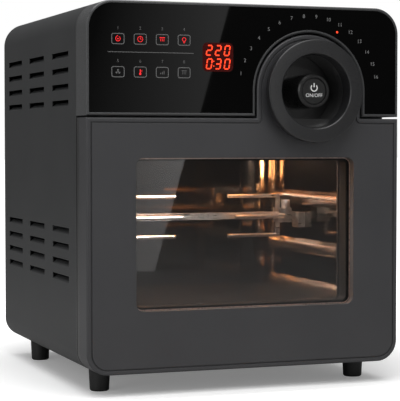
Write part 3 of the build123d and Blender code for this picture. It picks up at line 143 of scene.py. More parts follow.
def maths(tree, operation, *values):
    """One Math node: sockets are joined to it, and numbers are written into it."""
    node = tree.nodes.new("ShaderNodeMath")
    node.operation = operation
    for place, value in enumerate(values):
        if isinstance(value, (int, float)):
            node.inputs[place].default_value = value
        else:
            tree.links.new(value, node.inputs[place])
    return node.outputs[0]


def spread(tree, value, start, end, clamp=True):
    """One Map Range node: start and end each hold a value and what it becomes."""
    node = tree.nodes.new("ShaderNodeMapRange")
    node.clamp = clamp
    node.inputs["From Min"].default_value, node.inputs["To Min"].default_value = start
    node.inputs["From Max"].default_value, node.inputs["To Max"].default_value = end
    tree.links.new(value, node.inputs["Value"])
    return node.outputs["Result"]


def between(tree, factor, low, high):
    return spread(tree, factor, (NOISE_LOW, low), (NOISE_HIGH, high))


def colours(tree, factor, dark, light):
    ramp = tree.nodes.new("ShaderNodeValToRGB")
    ramp.color_ramp.elements[0].position = NOISE_LOW
    ramp.color_ramp.elements[1].position = NOISE_HIGH
    ramp.color_ramp.elements[0].color = (*dark, 1)
    ramp.color_ramp.elements[1].color = (*light, 1)
    tree.links.new(factor, ramp.inputs["Fac"])
    return ramp.outputs["Color"]


def finish(name, dark, light, rough, metal=0.0, drift=18.0, grain=900.0, bump=0.02,
           bump_depth=0.05, stretch=(1, 1, 1), soft_edge=0.0, coat=0.0):
    material, tree, shader, place = new_finish(name)
    along = stretched(tree, place, stretch)
    wide = noise(tree, along, drift)
    fine = noise(tree, along, grain, 4.0)
    tree.links.new(colours(tree, wide, dark, light), shader.inputs["Base Color"])
    tree.links.new(between(tree, fine, rough[0], rough[1]), shader.inputs["Roughness"])
    shader.inputs["Metallic"].default_value = metal
    shader.inputs["Coat Weight"].default_value = coat
    height = tree.nodes.new("ShaderNodeBump")
    height.inputs["Strength"].default_value = bump
    height.inputs["Distance"].default_value = bump_depth * MM
    tree.links.new(fine, height.inputs["Height"])
    if soft_edge:
        edge = tree.nodes.new("ShaderNodeBevel")
        edge.samples = 4
        edge.inputs["Radius"].default_value = soft_edge * MM
        tree.links.new(edge.outputs["Normal"], height.inputs["Normal"])
    tree.links.new(height.outputs["Normal"], shader.inputs["Normal"])
    return material


def grey(level):
    return (level, level, level)


def gloss(material, level):
    """How strongly a finish mirrors: 0.5 is plain plastic or glass, 0 not at all."""
    shader = material.node_tree.nodes["Principled BSDF"]
    shader.inputs["Specular IOR Level"].default_value = level


# %% [markdown]
# The body is steel with a matt anthracite powder coat. Powder coat has a faint orange
# peel, so it gets a bump about a millimetre wide. Its edges are softened in the shading
# alone, so that they catch a thin line of light.

# %% Painted finishes
shell_paint = finish("shell_powder_coat", (0.031, 0.032, 0.033), (0.035, 0.036, 0.037),
                     (0.42, 0.50), grain=1300, bump=0.25, bump_depth=0.06, soft_edge=0.8)
door_paint = finish("door_matt_paint", (0.037, 0.037, 0.040), (0.042, 0.042, 0.045),
                    (0.40, 0.47), grain=1800, bump=0.12, bump_depth=0.04, soft_edge=0.7)
trim_paint = finish("bezel_satin_paint", (0.046, 0.047, 0.048), (0.053, 0.054, 0.056),
                    (0.26, 0.32), grain=1800, bump=0.08, bump_depth=0.03, soft_edge=0.8)
ring_paint = finish("ring_satin_paint", (0.016, 0.016, 0.017), (0.020, 0.020, 0.021),
                    (0.26, 0.32), grain=1800, bump=0.10, bump_depth=0.03, soft_edge=1.0)
frame_paint = finish("frame_black_enamel", grey(0.012), grey(0.018), (0.30, 0.38),
                     grain=900, bump=0.1, soft_edge=0.4)
gloss(shell_paint, 0.28)
print("painted finishes:", 5)

# %% [markdown]
# The panel glass is printed black from behind, so one glossy black stands for both.
# The two door panes are see-through. They are mostly transparent with a thin
# reflecting skin, which lets light in and out of the chamber without grain.

# %% Glass finishes
PANE_DRIFT = 1.2
PANE_ROUGHER = 0.004
PANE_IOR = 1.5
panel_black = finish("panel_black_glass", grey(0.0012), grey(0.0018), (0.015, 0.025),
                     drift=8, grain=30, bump=0.0)
gloss(panel_black, 0.10)


def clear_pane(name, tint, show, rough):
    material, tree, shader, place = new_finish(name)
    smear = noise(tree, place, 25.0, 5.0)
    tree.links.new(colours(tree, smear, tint, tuple(PANE_DRIFT * value for value in tint)),
                   shader.inputs["Base Color"])
    tree.links.new(between(tree, smear, rough, rough + PANE_ROUGHER), shader.inputs["Roughness"])
    shader.inputs["Alpha"].default_value = show
    shader.inputs["IOR"].default_value = PANE_IOR
    gloss(material, 1.0)
    return material


outer_pane = clear_pane("door_pane_outside", (0.006, 0.005, 0.0045), 0.40, 0.002)
inner_pane = clear_pane("door_pane_inside", (0.006, 0.005, 0.0045), 0.12, 0.002)
lamp_pane = clear_pane("lamp_cover_glass", (0.60, 0.55, 0.45), 0.35, 0.15)
print("panes:", outer_pane.name, inner_pane.name)

# %% [markdown]
# The chamber is stainless sheet. It is polished along the length of the oven, so its
# grain is stretched along Y, and its colour is warm. The rails are pressed into the
# side walls. Their real section is round, so the shading leans over each of them: a
# small change to the normal, where new geometry would need a denser wall. The side
# walls get a darker copy of the stainless, which is painted shade, and the rails a pale
# colour, which is a painted highlight.

# %% Metal finishes
stainless = finish("chamber_stainless", (0.30, 0.26, 0.23), (0.38, 0.335, 0.30),
                   (0.07, 0.12), metal=1.0, drift=14, grain=60, bump=0.02,
                   bump_depth=0.02, stretch=(1, 0.06, 1))

RAIL_HALF = 9.0 * MM
RAIL_FACE = 125.4 * MM
RAIL_BACK = 66.0 * MM
RAIL_DROPS = (77.5, 132.0, 177.0)
# Pale base colour laid on the rails: a painted highlight.
RAIL_PAINTED_HIGHLIGHT = (0.88, 0.82, 0.76, 1)
RAIL_ROUGHER = 0.14
wall_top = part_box("cavity_wall")[1].z


def rounded_rails_painted_highlight(material):
    """Leans the shading over each pressed rail, as its real section is round, and paints a
    highlight on it.
    """
    tree = material.node_tree
    join = tree.links.new
    shader = tree.nodes["Principled BSDF"]
    place = tree.nodes.new("ShaderNodeTexCoord").outputs["Object"]
    parts = tree.nodes.new("ShaderNodeSeparateXYZ")
    join(place, parts.inputs["Vector"])
    pressed = maths(tree, "LESS_THAN", maths(tree, "ABSOLUTE", parts.outputs["X"]), RAIL_FACE)
    ahead = maths(tree, "LESS_THAN", parts.outputs["Y"], RAIL_BACK)
    on_rail = maths(tree, "MULTIPLY", pressed, ahead)
    lean = 0.0
    for drop in RAIL_DROPS:
        middle = wall_top - drop * MM
        across = spread(tree, parts.outputs["Z"], (middle - RAIL_HALF, -1.0),
                        (middle + RAIL_HALF, 1.0), clamp=False)
        near = maths(tree, "LESS_THAN", maths(tree, "ABSOLUTE", across), 1.0)
        lean = maths(tree, "MULTIPLY_ADD", across, near, lean)
    tilt = tree.nodes.new("ShaderNodeCombineXYZ")
    join(maths(tree, "MULTIPLY", lean, on_rail), tilt.inputs["Z"])
    face = tree.nodes.new("ShaderNodeNewGeometry")
    leaned = tree.nodes.new("ShaderNodeVectorMath")
    join(face.outputs["Normal"], leaned.inputs[0])
    join(tilt.outputs["Vector"], leaned.inputs[1])
    unit = tree.nodes.new("ShaderNodeVectorMath")
    unit.operation = "NORMALIZE"
    join(leaned.outputs["Vector"], unit.inputs[0])
    join(unit.outputs["Vector"], shader.inputs["Normal"])
    # The rails' pale base colour is a painted highlight, not a different metal.
    bright = tree.nodes.new("ShaderNodeMix")
    bright.data_type = "RGBA"
    join(on_rail, bright.inputs["Factor"])
    join(shader.inputs["Base Color"].links[0].from_socket, bright.inputs["A"])
    bright.inputs["B"].default_value = RAIL_PAINTED_HIGHLIGHT
    join(bright.outputs["Result"], shader.inputs["Base Color"])
    grain = shader.inputs["Roughness"].links[0].from_socket
    join(maths(tree, "MULTIPLY_ADD", on_rail, RAIL_ROUGHER, grain), shader.inputs["Roughness"])


# A darker copy of the chamber stainless for the side walls: painted shade.
wall_painted_shade_and_highlight = finish("chamber_wall_painted_shade_and_highlight", (0.15, 0.125, 0.105), (0.21, 0.175, 0.145),
                    (0.07, 0.12), metal=1.0, drift=14, grain=60, bump=0.02,
                    bump_depth=0.02, stretch=(1, 0.06, 1))
rounded_rails_painted_highlight(wall_painted_shade_and_highlight)
tray_steel = finish("tray_coated_steel", (0.060, 0.058, 0.056), (0.085, 0.082, 0.079),
                    (0.10, 0.15), metal=0.8, grain=700, bump=0.03)
zinc_steel = finish("zinc_plated_steel", (0.46, 0.47, 0.48), (0.58, 0.59, 0.60),
                    (0.30, 0.42), metal=1.0, drift=60, grain=500, bump=0.1)
bright_steel = finish("bright_steel", (0.76, 0.75, 0.73), (0.84, 0.83, 0.81),
                      (0.26, 0.34), metal=1.0, grain=600, bump=0.05, stretch=(0.1, 1, 1))
screw_steel = finish("black_screw_steel", grey(0.08), grey(0.12), (0.3, 0.4), metal=1.0)
coil_steel = finish("heater_sheath", (0.10, 0.09, 0.085), (0.16, 0.14, 0.13),
                    (0.45, 0.55), metal=0.9, grain=800, bump=0.15)
fan_metal = finish("fan_aluminium", (0.60, 0.61, 0.62), (0.70, 0.71, 0.72),
                   (0.25, 0.35), metal=1.0, grain=700, bump=0.08)
motor_steel = finish("motor_laminations", (0.22, 0.23, 0.25), (0.32, 0.33, 0.35),
                     (0.35, 0.5), metal=1.0, grain=1500, bump=0.3, stretch=(0.2, 0.2, 1))
print("metals:", 9)

# %% [markdown]
# The rest is moulded plastic and rubber, the boards and the lamp's ceramic. Moulded
# black is never quite black, and the spark-eroded grain of the mould shows as a fine
# bump. The frame between the two panes is the darkest, so that it doesn't mirror.

# %% Plastic and rubber finishes
gloss_black = finish("tunnel_gloss_black", grey(0.036), grey(0.044), (0.18, 0.24),
                     grain=300, bump=0.02, coat=0.6)
knob_black = finish("knob_satin_black", grey(0.008), grey(0.011), (0.22, 0.30),
                    grain=2200, bump=0.08, soft_edge=0.4)
button_black = finish("button_satin_black", grey(0.008), grey(0.010), (0.26, 0.32),
                      grain=2200, bump=0.08, soft_edge=0.3)
moulded_black = finish("moulded_black", grey(0.012), grey(0.018), (0.40, 0.52),
                       grain=1500, bump=0.2)
spacer_black = finish("spacer_matt_black", grey(0.004), grey(0.006), (0.60, 0.70),
                      grain=1500, bump=0.2)
gloss(spacer_black, 0.05)
foot_rubber = finish("foot_rubber", grey(0.009), grey(0.014), (0.50, 0.62),
                     grain=1100, bump=0.3, soft_edge=0.6)
seal_rubber = finish("seal_silicone", grey(0.03), grey(0.04), (0.45, 0.55), grain=700)
board_green = finish("board_resist", (0.01, 0.07, 0.03), (0.015, 0.10, 0.04), (0.3, 0.4),
                     grain=300, bump=0.1)
lamp_ceramic = finish("lamp_ceramic", (0.75, 0.72, 0.65), (0.85, 0.82, 0.75), (0.3, 0.4))
print("plastics:", 9)

# %% [markdown]
# A table names every solid piece once, under its finish. A piece comes in with its own
# material slots, and filling them leaves its shape as it is. The last line prints any
# piece that was left out.

# %% Which piece gets which finish
FINISHES = {
    shell_paint: ["outer_shell", "rear_panel"],
    door_paint: ["door_panel"],
    trim_paint: ["control_bezel"],
    ring_paint: ["handle_ring"],
    frame_paint: ["front_frame", "door_liner"],
    panel_black: ["control_glass"],
    outer_pane: ["outer_glass"],
    inner_pane: ["inner_glass"],
    lamp_pane: ["lamp_glass"],
    wall_painted_shade_and_highlight: ["cavity_wall"],
    stainless: ["cavity_floor", "cavity_ceiling", "heater_housing", "fan_guard"],
    tray_steel: ["drip_tray"],
    zinc_steel: ["base_plate", "cavity_brackets", "hinge_brackets", "motor_bridge",
                 "gear_bracket", "lamp_holder", "catch_plates", "thermal_cutout",
                 "touch_springs", "door_magnets"],
    bright_steel: ["spit", "forks", "thumbscrews", "spit_support", "drive_socket",
                   "hinge_pins", "temperature_probe", "fan_shaft", "encoder_shaft"],
    screw_steel: ["housing_screws", "foot_screws", "door_screws"],
    coil_steel: ["heater_coil"],
    fan_metal: ["convection_fan", "cooling_fan"],
    motor_steel: ["fan_motor", "gear_motor"],
    gloss_black: ["handle_tunnel", "knob_backing"],
    knob_black: ["knob"],
    button_black: ["on_off_button"],
    spacer_black: ["glass_spacer"],
    moulded_black: ["encoder", "display_module", "door_switch",
                    "socket_bush", "cord_gland"],
    foot_rubber: ["feet"],
    seal_rubber: ["door_seal"],
    board_green: ["control_board", "power_board", "board_posts"],
    lamp_ceramic: ["lamp"],
}
dressed = []
for material, names in FINISHES.items():
    for name in names:
        for place in nodes[name].material_slots:
            place.material = material
        dressed.append(name)
print("dressed:", len(dressed), "left:", sorted(set(nodes) - set(dressed)))

# %% [markdown]
# The panel is printed and lit. The marks are a few hundredths of a millimetre thick,
# so each is a flat outline pushed out by that much and laid on the glass. Lit marks
# glow red, and unlit ones are a dim grey print.

# %% Inks and lights of the panel
GLOW_DRIFT = 0.9
GLOW_GLOSS = 0.10


def glow(name, colour, strength):
    material, tree, shader, place = new_finish(name)
    flicker = noise(tree, place, 400.0)
    tree.links.new(colours(tree, flicker, colour, tuple(GLOW_DRIFT * value for value in colour)),
                   shader.inputs["Base Color"])
    gloss(material, GLOW_GLOSS)
    shader.inputs["Emission Color"].default_value = (*colour, 1)
    shader.inputs["Emission Strength"].default_value = strength
    shader.inputs["Roughness"].default_value = 0.4
    return material


lit_red = glow("lit_red", (1.0, 0.06, 0.02), 1.15)
icon_red = glow("icon_red", (0.85, 0.025, 0.03), 0.75)
deep_red = glow("display_haze", (0.045, 0.002, 0.0015), 0.10)
grey_ink = finish("grey_ink", grey(0.13), grey(0.15), (0.4, 0.5))
number_ink = finish("number_ink", grey(0.17), grey(0.20), (0.4, 0.5))
dim_ink = finish("dim_ink", grey(0.10), grey(0.12), (0.4, 0.5))
white_ink = finish("white_ink", grey(0.78), grey(0.84), (0.4, 0.5))
print("inks and lights:", 7)

# %% [markdown]
# Every mark is drawn flat, with x across and y up, from plates, rings, discs and
# strokes that operators make. One last helper gives the drawing its thickness, stands
# it on its upright face and lets it ride with the right body.

# %% Laying marks on a flat face
INK = 0.05 * MM
glass_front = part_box("control_glass")[0].y
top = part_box("control_bezel")[1].z


def keep(mesh_maker, name, material, body, face_y):
    """Turns a flat drawing (x across, y up) into a thin piece on an upright face."""
    mesh_maker.normal_update()
    raised = bmesh.ops.extrude_face_region(mesh_maker, geom=mesh_maker.faces[:])
    corners = [part for part in raised["geom"] if isinstance(part, bmesh.types.BMVert)]
    bmesh.ops.translate(mesh_maker, verts=corners, vec=(0, 0, INK))
    stand = Matrix.Translation((0, face_y, 0)) @ Matrix.Rotation(radians(90), 4, "X")
    bmesh.ops.transform(mesh_maker, matrix=stand, verts=mesh_maker.verts)
    bmesh.ops.recalc_face_normals(mesh_maker, faces=mesh_maker.faces)
    mesh = bpy.data.meshes.new(name)
    mesh_maker.to_mesh(mesh)
    mesh_maker.free()
    piece = bpy.data.objects.new(name, mesh)
    bpy.context.scene.collection.objects.link(piece)
    mesh.materials.append(material)
    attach(piece, body)
    return piece


def pour(draw, made, x, y):
    """Moves a finished mark to its place and adds it to the drawing."""
    bmesh.ops.translate(made, vec=(x, y, 0), verts=made.verts)
    part = bpy.data.meshes.new("part")
    made.to_mesh(part)
    made.free()
    draw.from_mesh(part)
    bpy.data.meshes.remove(part)


def rounded_plate(width, height, corner):
    """A flat rectangle with round corners."""
    made = bmesh.new()
    corners = bmesh.ops.create_grid(made, x_segments=1, y_segments=1, size=0.5)["verts"]
    bmesh.ops.scale(made, vec=(width, height, 1), verts=corners)
    bmesh.ops.bevel(made, geom=corners, offset=corner, offset_type="OFFSET", segments=5,
                    profile=0.5, affect="VERTICES", material=-1)
    return made


def hollow_out(made, line):
    """Leaves only a thin outline of a flat shape."""
    middle = max(made.faces, key=lambda face: face.calc_area())
    bmesh.ops.inset_region(made, faces=[middle], thickness=line, use_boundary=True,
                           use_even_offset=True)
    bmesh.ops.delete(made, geom=[middle], context="FACES_ONLY")


def add_plate(draw, x, y, width, height, corner):
    pour(draw, rounded_plate(width, height, corner), x, y)


def add_frame(draw, x, y, width, height, corner, line):
    made = rounded_plate(width, height, corner)
    hollow_out(made, line)
    pour(draw, made, x, y)


def add_ring(draw, x, y, radius, line, sides=28, gap=0.0):
    """A thin ring, open at the top by gap degrees each way if asked."""
    made = bmesh.new()
    bmesh.ops.create_circle(made, cap_ends=True, segments=sides, radius=radius)
    hollow_out(made, line)
    cut = []
    for face in made.faces:
        middle = face.calc_center_median()
        if abs(degrees(atan2(middle.x, middle.y))) < gap:
            cut.append(face)
    bmesh.ops.delete(made, geom=cut, context="FACES")
    pour(draw, made, x, y)


def add_disc(draw, x, y, radius, sides=24):
    made = bmesh.ops.create_circle(draw, cap_ends=True, segments=sides, radius=radius)
    bmesh.ops.translate(draw, vec=(x, y, 0), verts=made["verts"])


def add_stroke(draw, x0, y0, x1, y1, line):
    """A straight line with square ends."""
    made = bmesh.ops.create_grid(draw, x_segments=1, y_segments=1, size=0.5)["verts"]
    length = Vector((x1 - x0, y1 - y0)).length
    bmesh.ops.scale(draw, vec=(length, line, 1), verts=made)
    turn = Matrix.Rotation(atan2(y1 - y0, x1 - x0), 4, "Z")
    bmesh.ops.transform(draw, matrix=turn, verts=made)
    bmesh.ops.translate(draw, vec=((x0 + x1) / 2, (y0 + y1) / 2, 0), verts=made)


def add_strokes(draw, x, y, line, ends):
    """Strokes of an icon. Their ends are in millimetres from its middle."""
    for x0, y0, x1, y1 in ends:
        add_stroke(draw, x + x0 * MM, y + y0 * MM, x + x1 * MM, y + y1 * MM, line * MM)


def on_panel(draw, name, ink, front=glass_front):
    keep(draw, name, ink, "oven", front)


print("glass face at", round(glass_front, 4), "top at", round(top, 4))

# %% [markdown]
# Eight touch keys stand in two rows. Each is a thin grey outline with an icon in it,
# and the keys that can be used now are lit.

# %% Touch keys and the line between their rows
KEY_FIRST = -137.4 * MM
KEY_STEP = 23.0 * MM
KEY_COLUMNS = 4
KEY_UPPER = top - 38.0 * MM
KEY_LOWER = KEY_UPPER - 32.4 * MM
KEY_WIDE = 13.4 * MM
KEY_HIGH = 10.8 * MM
KEY_CORNER = 2.2 * MM
LINE = 0.75 * MM
DIVIDER_DROP = 12.9 * MM
DIVIDER_LEFT = KEY_FIRST - 10.5 * MM
DIVIDER_RIGHT = KEY_FIRST + 79.0 * MM
DIVIDER_LINE = 0.7 * MM

outlines = bmesh.new()
for row in (KEY_UPPER, KEY_LOWER):
    for column in range(KEY_COLUMNS):
        add_frame(outlines, KEY_FIRST + column * KEY_STEP, row, KEY_WIDE, KEY_HIGH, KEY_CORNER,
                  LINE)
on_panel(outlines, "key_outlines", grey_ink)

divider = bmesh.new()
middle = KEY_UPPER - DIVIDER_DROP
add_stroke(divider, DIVIDER_LEFT, middle, DIVIDER_RIGHT, middle, DIVIDER_LINE)
on_panel(divider, "panel_divider", dim_ink)
print("keys:", 2 * KEY_COLUMNS)

# %% [markdown]
# The icons are fine print, about six millimetres across. They could be a picture laid
# on the glass, but rings, discs and strokes stay sharp from near by, and each icon is a
# piece that can be lit by itself.

# %% Icons in the keys
def turning_icon(draw, x, y):
    add_ring(draw, x, y, 2.6 * MM, 0.55 * MM, gap=32)
    add_strokes(draw, x, y, 0.55, [(-1.4, 2.2, -0.2, 3.1)])
    add_disc(draw, x, y, 0.7 * MM)


def clock_icon(draw, x, y):
    add_ring(draw, x, y, 2.9 * MM, 0.5 * MM)
    add_strokes(draw, x, y, 0.5, [(0, 0, 0, 1.9), (0, 0, 1.4, 0)])


def heat_icon(draw, x, y):
    add_strokes(draw, x, y, 0.7, [(-2.8, 1.9, 2.8, 1.9)])
    add_strokes(draw, x, y, 0.5, [(shift, 0.9, shift, -1.6) for shift in (-1.7, 0, 1.7)])


def bulb_icon(draw, x, y):
    add_ring(draw, x, y + 0.7 * MM, 2.1 * MM, 0.5 * MM)
    add_strokes(draw, x, y, 0.5, [(-0.9, -1.9, 0.9, -1.9), (-0.6, -2.7, 0.6, -2.7)])


def fan_icon(draw, x, y):
    for turn in range(3):
        angle = radians(90 + 120 * turn)
        add_disc(draw, x + 1.7 * MM * cos(angle), y + 1.7 * MM * sin(angle), 1.0 * MM, 14)
    add_disc(draw, x, y, 0.6 * MM, 12)


def thermometer_icon(draw, x, y):
    add_disc(draw, x, y - 1.8 * MM, 1.1 * MM, 18)
    add_strokes(draw, x, y, 0.9, [(0, -1.2, 0, 2.8)])
    add_strokes(draw, x, y, 0.4, [(1.1, 1.6, 2.1, 1.6), (1.1, 0.3, 2.1, 0.3)])


def steps_icon(draw, x, y):
    tops = (-0.4, 0.6, 1.6)
    add_strokes(draw, x, y, 0.8, [(1.8 * step - 1.8, -2, 1.8 * step - 1.8, tops[step])
                                  for step in range(3)])


ICONS = [
    [(turning_icon, icon_red), (clock_icon, icon_red), (heat_icon, icon_red),
     (bulb_icon, icon_red)],
    [(fan_icon, dim_ink), (thermometer_icon, icon_red), (steps_icon, dim_ink),
     (heat_icon, dim_ink)],
]
for row, height in enumerate((KEY_UPPER, KEY_LOWER)):
    for column, (icon, ink) in enumerate(ICONS[row]):
        drawing = bmesh.new()
        icon(drawing, KEY_FIRST + column * KEY_STEP, height)
        on_panel(drawing, f"icon_{row + 1}_{column + 1}", ink)
print("icons:", sum(len(row) for row in ICONS))

# %% [markdown]
# The display shows a temperature over a time in slanted seven-segment figures. Every
# figure is up to seven strokes, leaned over by a shear.

# %% Seven-segment figures
SEGMENTS = {"0": "abcdef", "2": "abged", "3": "abgcd"}
READINGS = ("220", "030")
FIGURE_WIDE = 5.1 * MM
FIGURE_HIGH = 9.7 * MM
FIGURE_STEP = 9.6 * MM
FIGURE_LEAN = 0.16
FIGURE_FIRST = 0.45
FIGURE_BAR = 1.3 * MM
FIGURE_TRIM = 0.5 * MM
COLON_PLACE = 0.95
COLON_RADIUS = 0.6 * MM
COLON_HEIGHTS = (-2.2, 2.6)
HAZE_PLACE = 1.42
HAZE_WIDE = 33.0 * MM
HAZE_HIGH = 29.0 * MM
HAZE_CORNER = 5.0 * MM
DISPLAY_LEFT = -45.9 * MM
UPPER_FIGURES = top - 47.5 * MM
LOWER_FIGURES = top - 61.0 * MM


def add_figure(draw, figure, x, y):
    wide, high, trim = FIGURE_WIDE / 2, FIGURE_HIGH / 2, FIGURE_TRIM
    ends = {
        "a": (-wide + trim, high, wide - trim, high),
        "b": (wide, trim, wide, high - trim),
        "c": (wide, -high + trim, wide, -trim),
        "d": (-wide + trim, -high, wide - trim, -high),
        "e": (-wide, -high + trim, -wide, -trim),
        "f": (-wide, trim, -wide, high - trim),
        "g": (-wide + trim, 0, wide - trim, 0),
    }
    made = bmesh.new()
    for segment in SEGMENTS[figure]:
        add_stroke(made, *ends[segment], FIGURE_BAR)
    lean = Matrix(((1, FIGURE_LEAN, 0, 0), (0, 1, 0, 0), (0, 0, 1, 0), (0, 0, 0, 1)))
    bmesh.ops.transform(made, matrix=lean, verts=made.verts)
    pour(draw, made, x, y)


figures = bmesh.new()
for reading, height in zip(READINGS, (UPPER_FIGURES, LOWER_FIGURES)):
    for place, figure in enumerate(reading):
        add_figure(figures, figure, DISPLAY_LEFT + (place + FIGURE_FIRST) * FIGURE_STEP, height)
for height in COLON_HEIGHTS:
    add_disc(figures, DISPLAY_LEFT + COLON_PLACE * FIGURE_STEP, LOWER_FIGURES + height * MM,
             COLON_RADIUS, 12)
on_panel(figures, "display_figures", lit_red, glass_front - INK)

haze = bmesh.new()
add_plate(haze, DISPLAY_LEFT + HAZE_PLACE * FIGURE_STEP, (UPPER_FIGURES + LOWER_FIGURES) / 2,
          HAZE_WIDE, HAZE_HIGH, HAZE_CORNER)
on_panel(haze, "display_haze", deep_red)
print("figures:", sum(len(reading) for reading in READINGS))

# %% [markdown]
# Sixteen programs stand on an arc round the handle, and eight keys in their rows. Both
# have plain numbers, made from text turned into flat meshes, and a red light stands
# beside the program that is chosen.

# %% Program numbers and the chosen light
knob_low, knob_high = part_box("knob")
KNOB_X = (knob_low.x + knob_high.x) / 2
KNOB_Z = (knob_low.z + knob_high.z) / 2
PROGRAMS = 16
PROGRAM_SIZE = 5.4 * MM
ARC_START = 167.0
ARC_END = 12.0
ARC_HIGH = 77.0 * MM
ARC_WIDE = 1.01 * ARC_HIGH
KEY_NUMBER_SIZE = 4.2 * MM
KEY_NUMBER_RISE = 10.6 * MM
CHOSEN_ANGLE = radians(63)
CHOSEN_FROM_KNOB = 69.0 * MM
CHOSEN_RADIUS = 1.1 * MM
TEXT_JOIN = 0.001 * MM


def written(text, size):
    """Plain letters made a flat mesh, centred on the origin."""
    curve = bpy.data.curves.new("letters", "FONT")
    curve.body = text
    curve.size = size
    curve.align_x = "CENTER"
    curve.align_y = "CENTER"
    curve.resolution_u = 3
    holder = bpy.data.objects.new("letters", curve)
    bpy.context.scene.collection.objects.link(holder)
    depsgraph = bpy.context.evaluated_depsgraph_get()
    mesh = bpy.data.meshes.new_from_object(holder.evaluated_get(depsgraph))
    bpy.data.objects.remove(holder)
    bpy.data.curves.remove(curve)
    return mesh


def add_text(draw, text, size, x, y):
    mesh = written(text, size)
    mesh.transform(Matrix.Translation((x, y, 0)))
    draw.from_mesh(mesh)
    bpy.data.meshes.remove(mesh)
    bmesh.ops.remove_doubles(draw, verts=draw.verts, dist=TEXT_JOIN)


key_numbers = bmesh.new()
for row, height in enumerate((KEY_UPPER, KEY_LOWER)):
    for column in range(KEY_COLUMNS):
        add_text(key_numbers, str(KEY_COLUMNS * row + column + 1), KEY_NUMBER_SIZE,
                 KEY_FIRST + column * KEY_STEP, height + KEY_NUMBER_RISE)
on_panel(key_numbers, "key_numbers", dim_ink)

numbers = bmesh.new()
for program in range(PROGRAMS):
    angle = radians(ARC_START + (ARC_END - ARC_START) * program / (PROGRAMS - 1))
    add_text(numbers, str(program + 1), PROGRAM_SIZE,
             KNOB_X + ARC_WIDE * cos(angle), KNOB_Z + ARC_HIGH * sin(angle))
on_panel(numbers, "program_numbers", number_ink)

chosen = bmesh.new()
add_disc(chosen, KNOB_X + CHOSEN_FROM_KNOB * cos(CHOSEN_ANGLE),
         KNOB_Z + CHOSEN_FROM_KNOB * sin(CHOSEN_ANGLE), CHOSEN_RADIUS)
on_panel(chosen, "chosen_light", lit_red)
print("programs:", PROGRAMS)

# %% [markdown]
# The button carries its power symbol, a ring open at the top with a bar in the gap, and
# its letters below. Both ride on the button, so they turn and press in with it.

# %% The mark and letters on the button
SYMBOL_RISE = 3.4 * MM
SYMBOL_RADIUS = 4.0 * MM
SYMBOL_LINE = 1.15 * MM
SYMBOL_GAP = 40
BAR_LOW = 4.0 * MM
BAR_HIGH = 8.3 * MM
LETTERS_SIZE = 5.2 * MM
LETTERS_DROP = 4.4 * MM
button_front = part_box("on_off_button")[0].y


def on_button(draw, name):
    keep(draw, name, white_ink, "button", button_front)


symbol = bmesh.new()
add_ring(symbol, KNOB_X, KNOB_Z + SYMBOL_RISE, SYMBOL_RADIUS, SYMBOL_LINE, 32, gap=SYMBOL_GAP)
add_stroke(symbol, KNOB_X, KNOB_Z + BAR_LOW, KNOB_X, KNOB_Z + BAR_HIGH, SYMBOL_LINE)
on_button(symbol, "power_symbol")
letters = bmesh.new()
add_text(letters, "ON/OFF", LETTERS_SIZE, KNOB_X, KNOB_Z - LETTERS_DROP)
on_button(letters, "button_letters")
print("button face at", round(button_front, 4))

# %% [markdown]
# A thin copper-brown bead runs round the window, where the glass meets the door. Its
# colour is a painted highlight, for the light line on the glass's bevelled edge. Its
# outline is a plate with round corners, inset so that only a narrow rim is left. The
# finish is more than half metal, so the rim also catches a real line of light.

# %% Window bead
# The bead's copper-brown colour is a painted highlight of the glass edge.
bead_painted_highlight_finish = finish("window_bead_painted_highlight", (0.34, 0.25, 0.22), (0.40, 0.30, 0.26), (0.25, 0.32),
                     metal=0.6)
WINDOW_WIDE = 237.6 * MM
WINDOW_HIGH = 153.0 * MM
WINDOW_CORNER = 8.0 * MM
BEAD_LINE = 1.1 * MM
BEAD_GAP = 0.4 * MM
BEAD_LIFT = 0.02 * MM
pane_low, pane_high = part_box("outer_glass")
window_middle = (pane_low.z + pane_high.z) / 2
bead = bmesh.new()
add_frame(bead, 0, window_middle, WINDOW_WIDE - BEAD_GAP, WINDOW_HIGH - BEAD_GAP,
          WINDOW_CORNER, BEAD_LINE)
keep(bead, "window_bead_painted_highlight", bead_painted_highlight_finish, "door", pane_low.y - BEAD_LIFT)
print("window middle at", round(window_middle, 4))

# %% [markdown]
# The studio is a flat white floor and a white sky. Both show white to the camera only:
# the sky and the floor are dimmer for the rays that light the oven, so its paint keeps
# its own colour. The floor's white rises away from the oven, so near it the floor is
# darker to the camera: painted shade that deepens its real shadow.

# %% Floor and background
FLOOR_SIZE = 20.0
FLOOR_SEEN = (0.92, 0.95)
FLOOR_LIGHTING = (0.45, 0.47)
SHADE_NEAR, SHADE_LEVEL = 0.20, 0.20
WHITE_FROM, WHITE_LEVEL = 0.70, 1.0
SKY_SEEN, SKY_LIGHTING, SKY_MIRRORED = 1.0, 0.28, 0.6


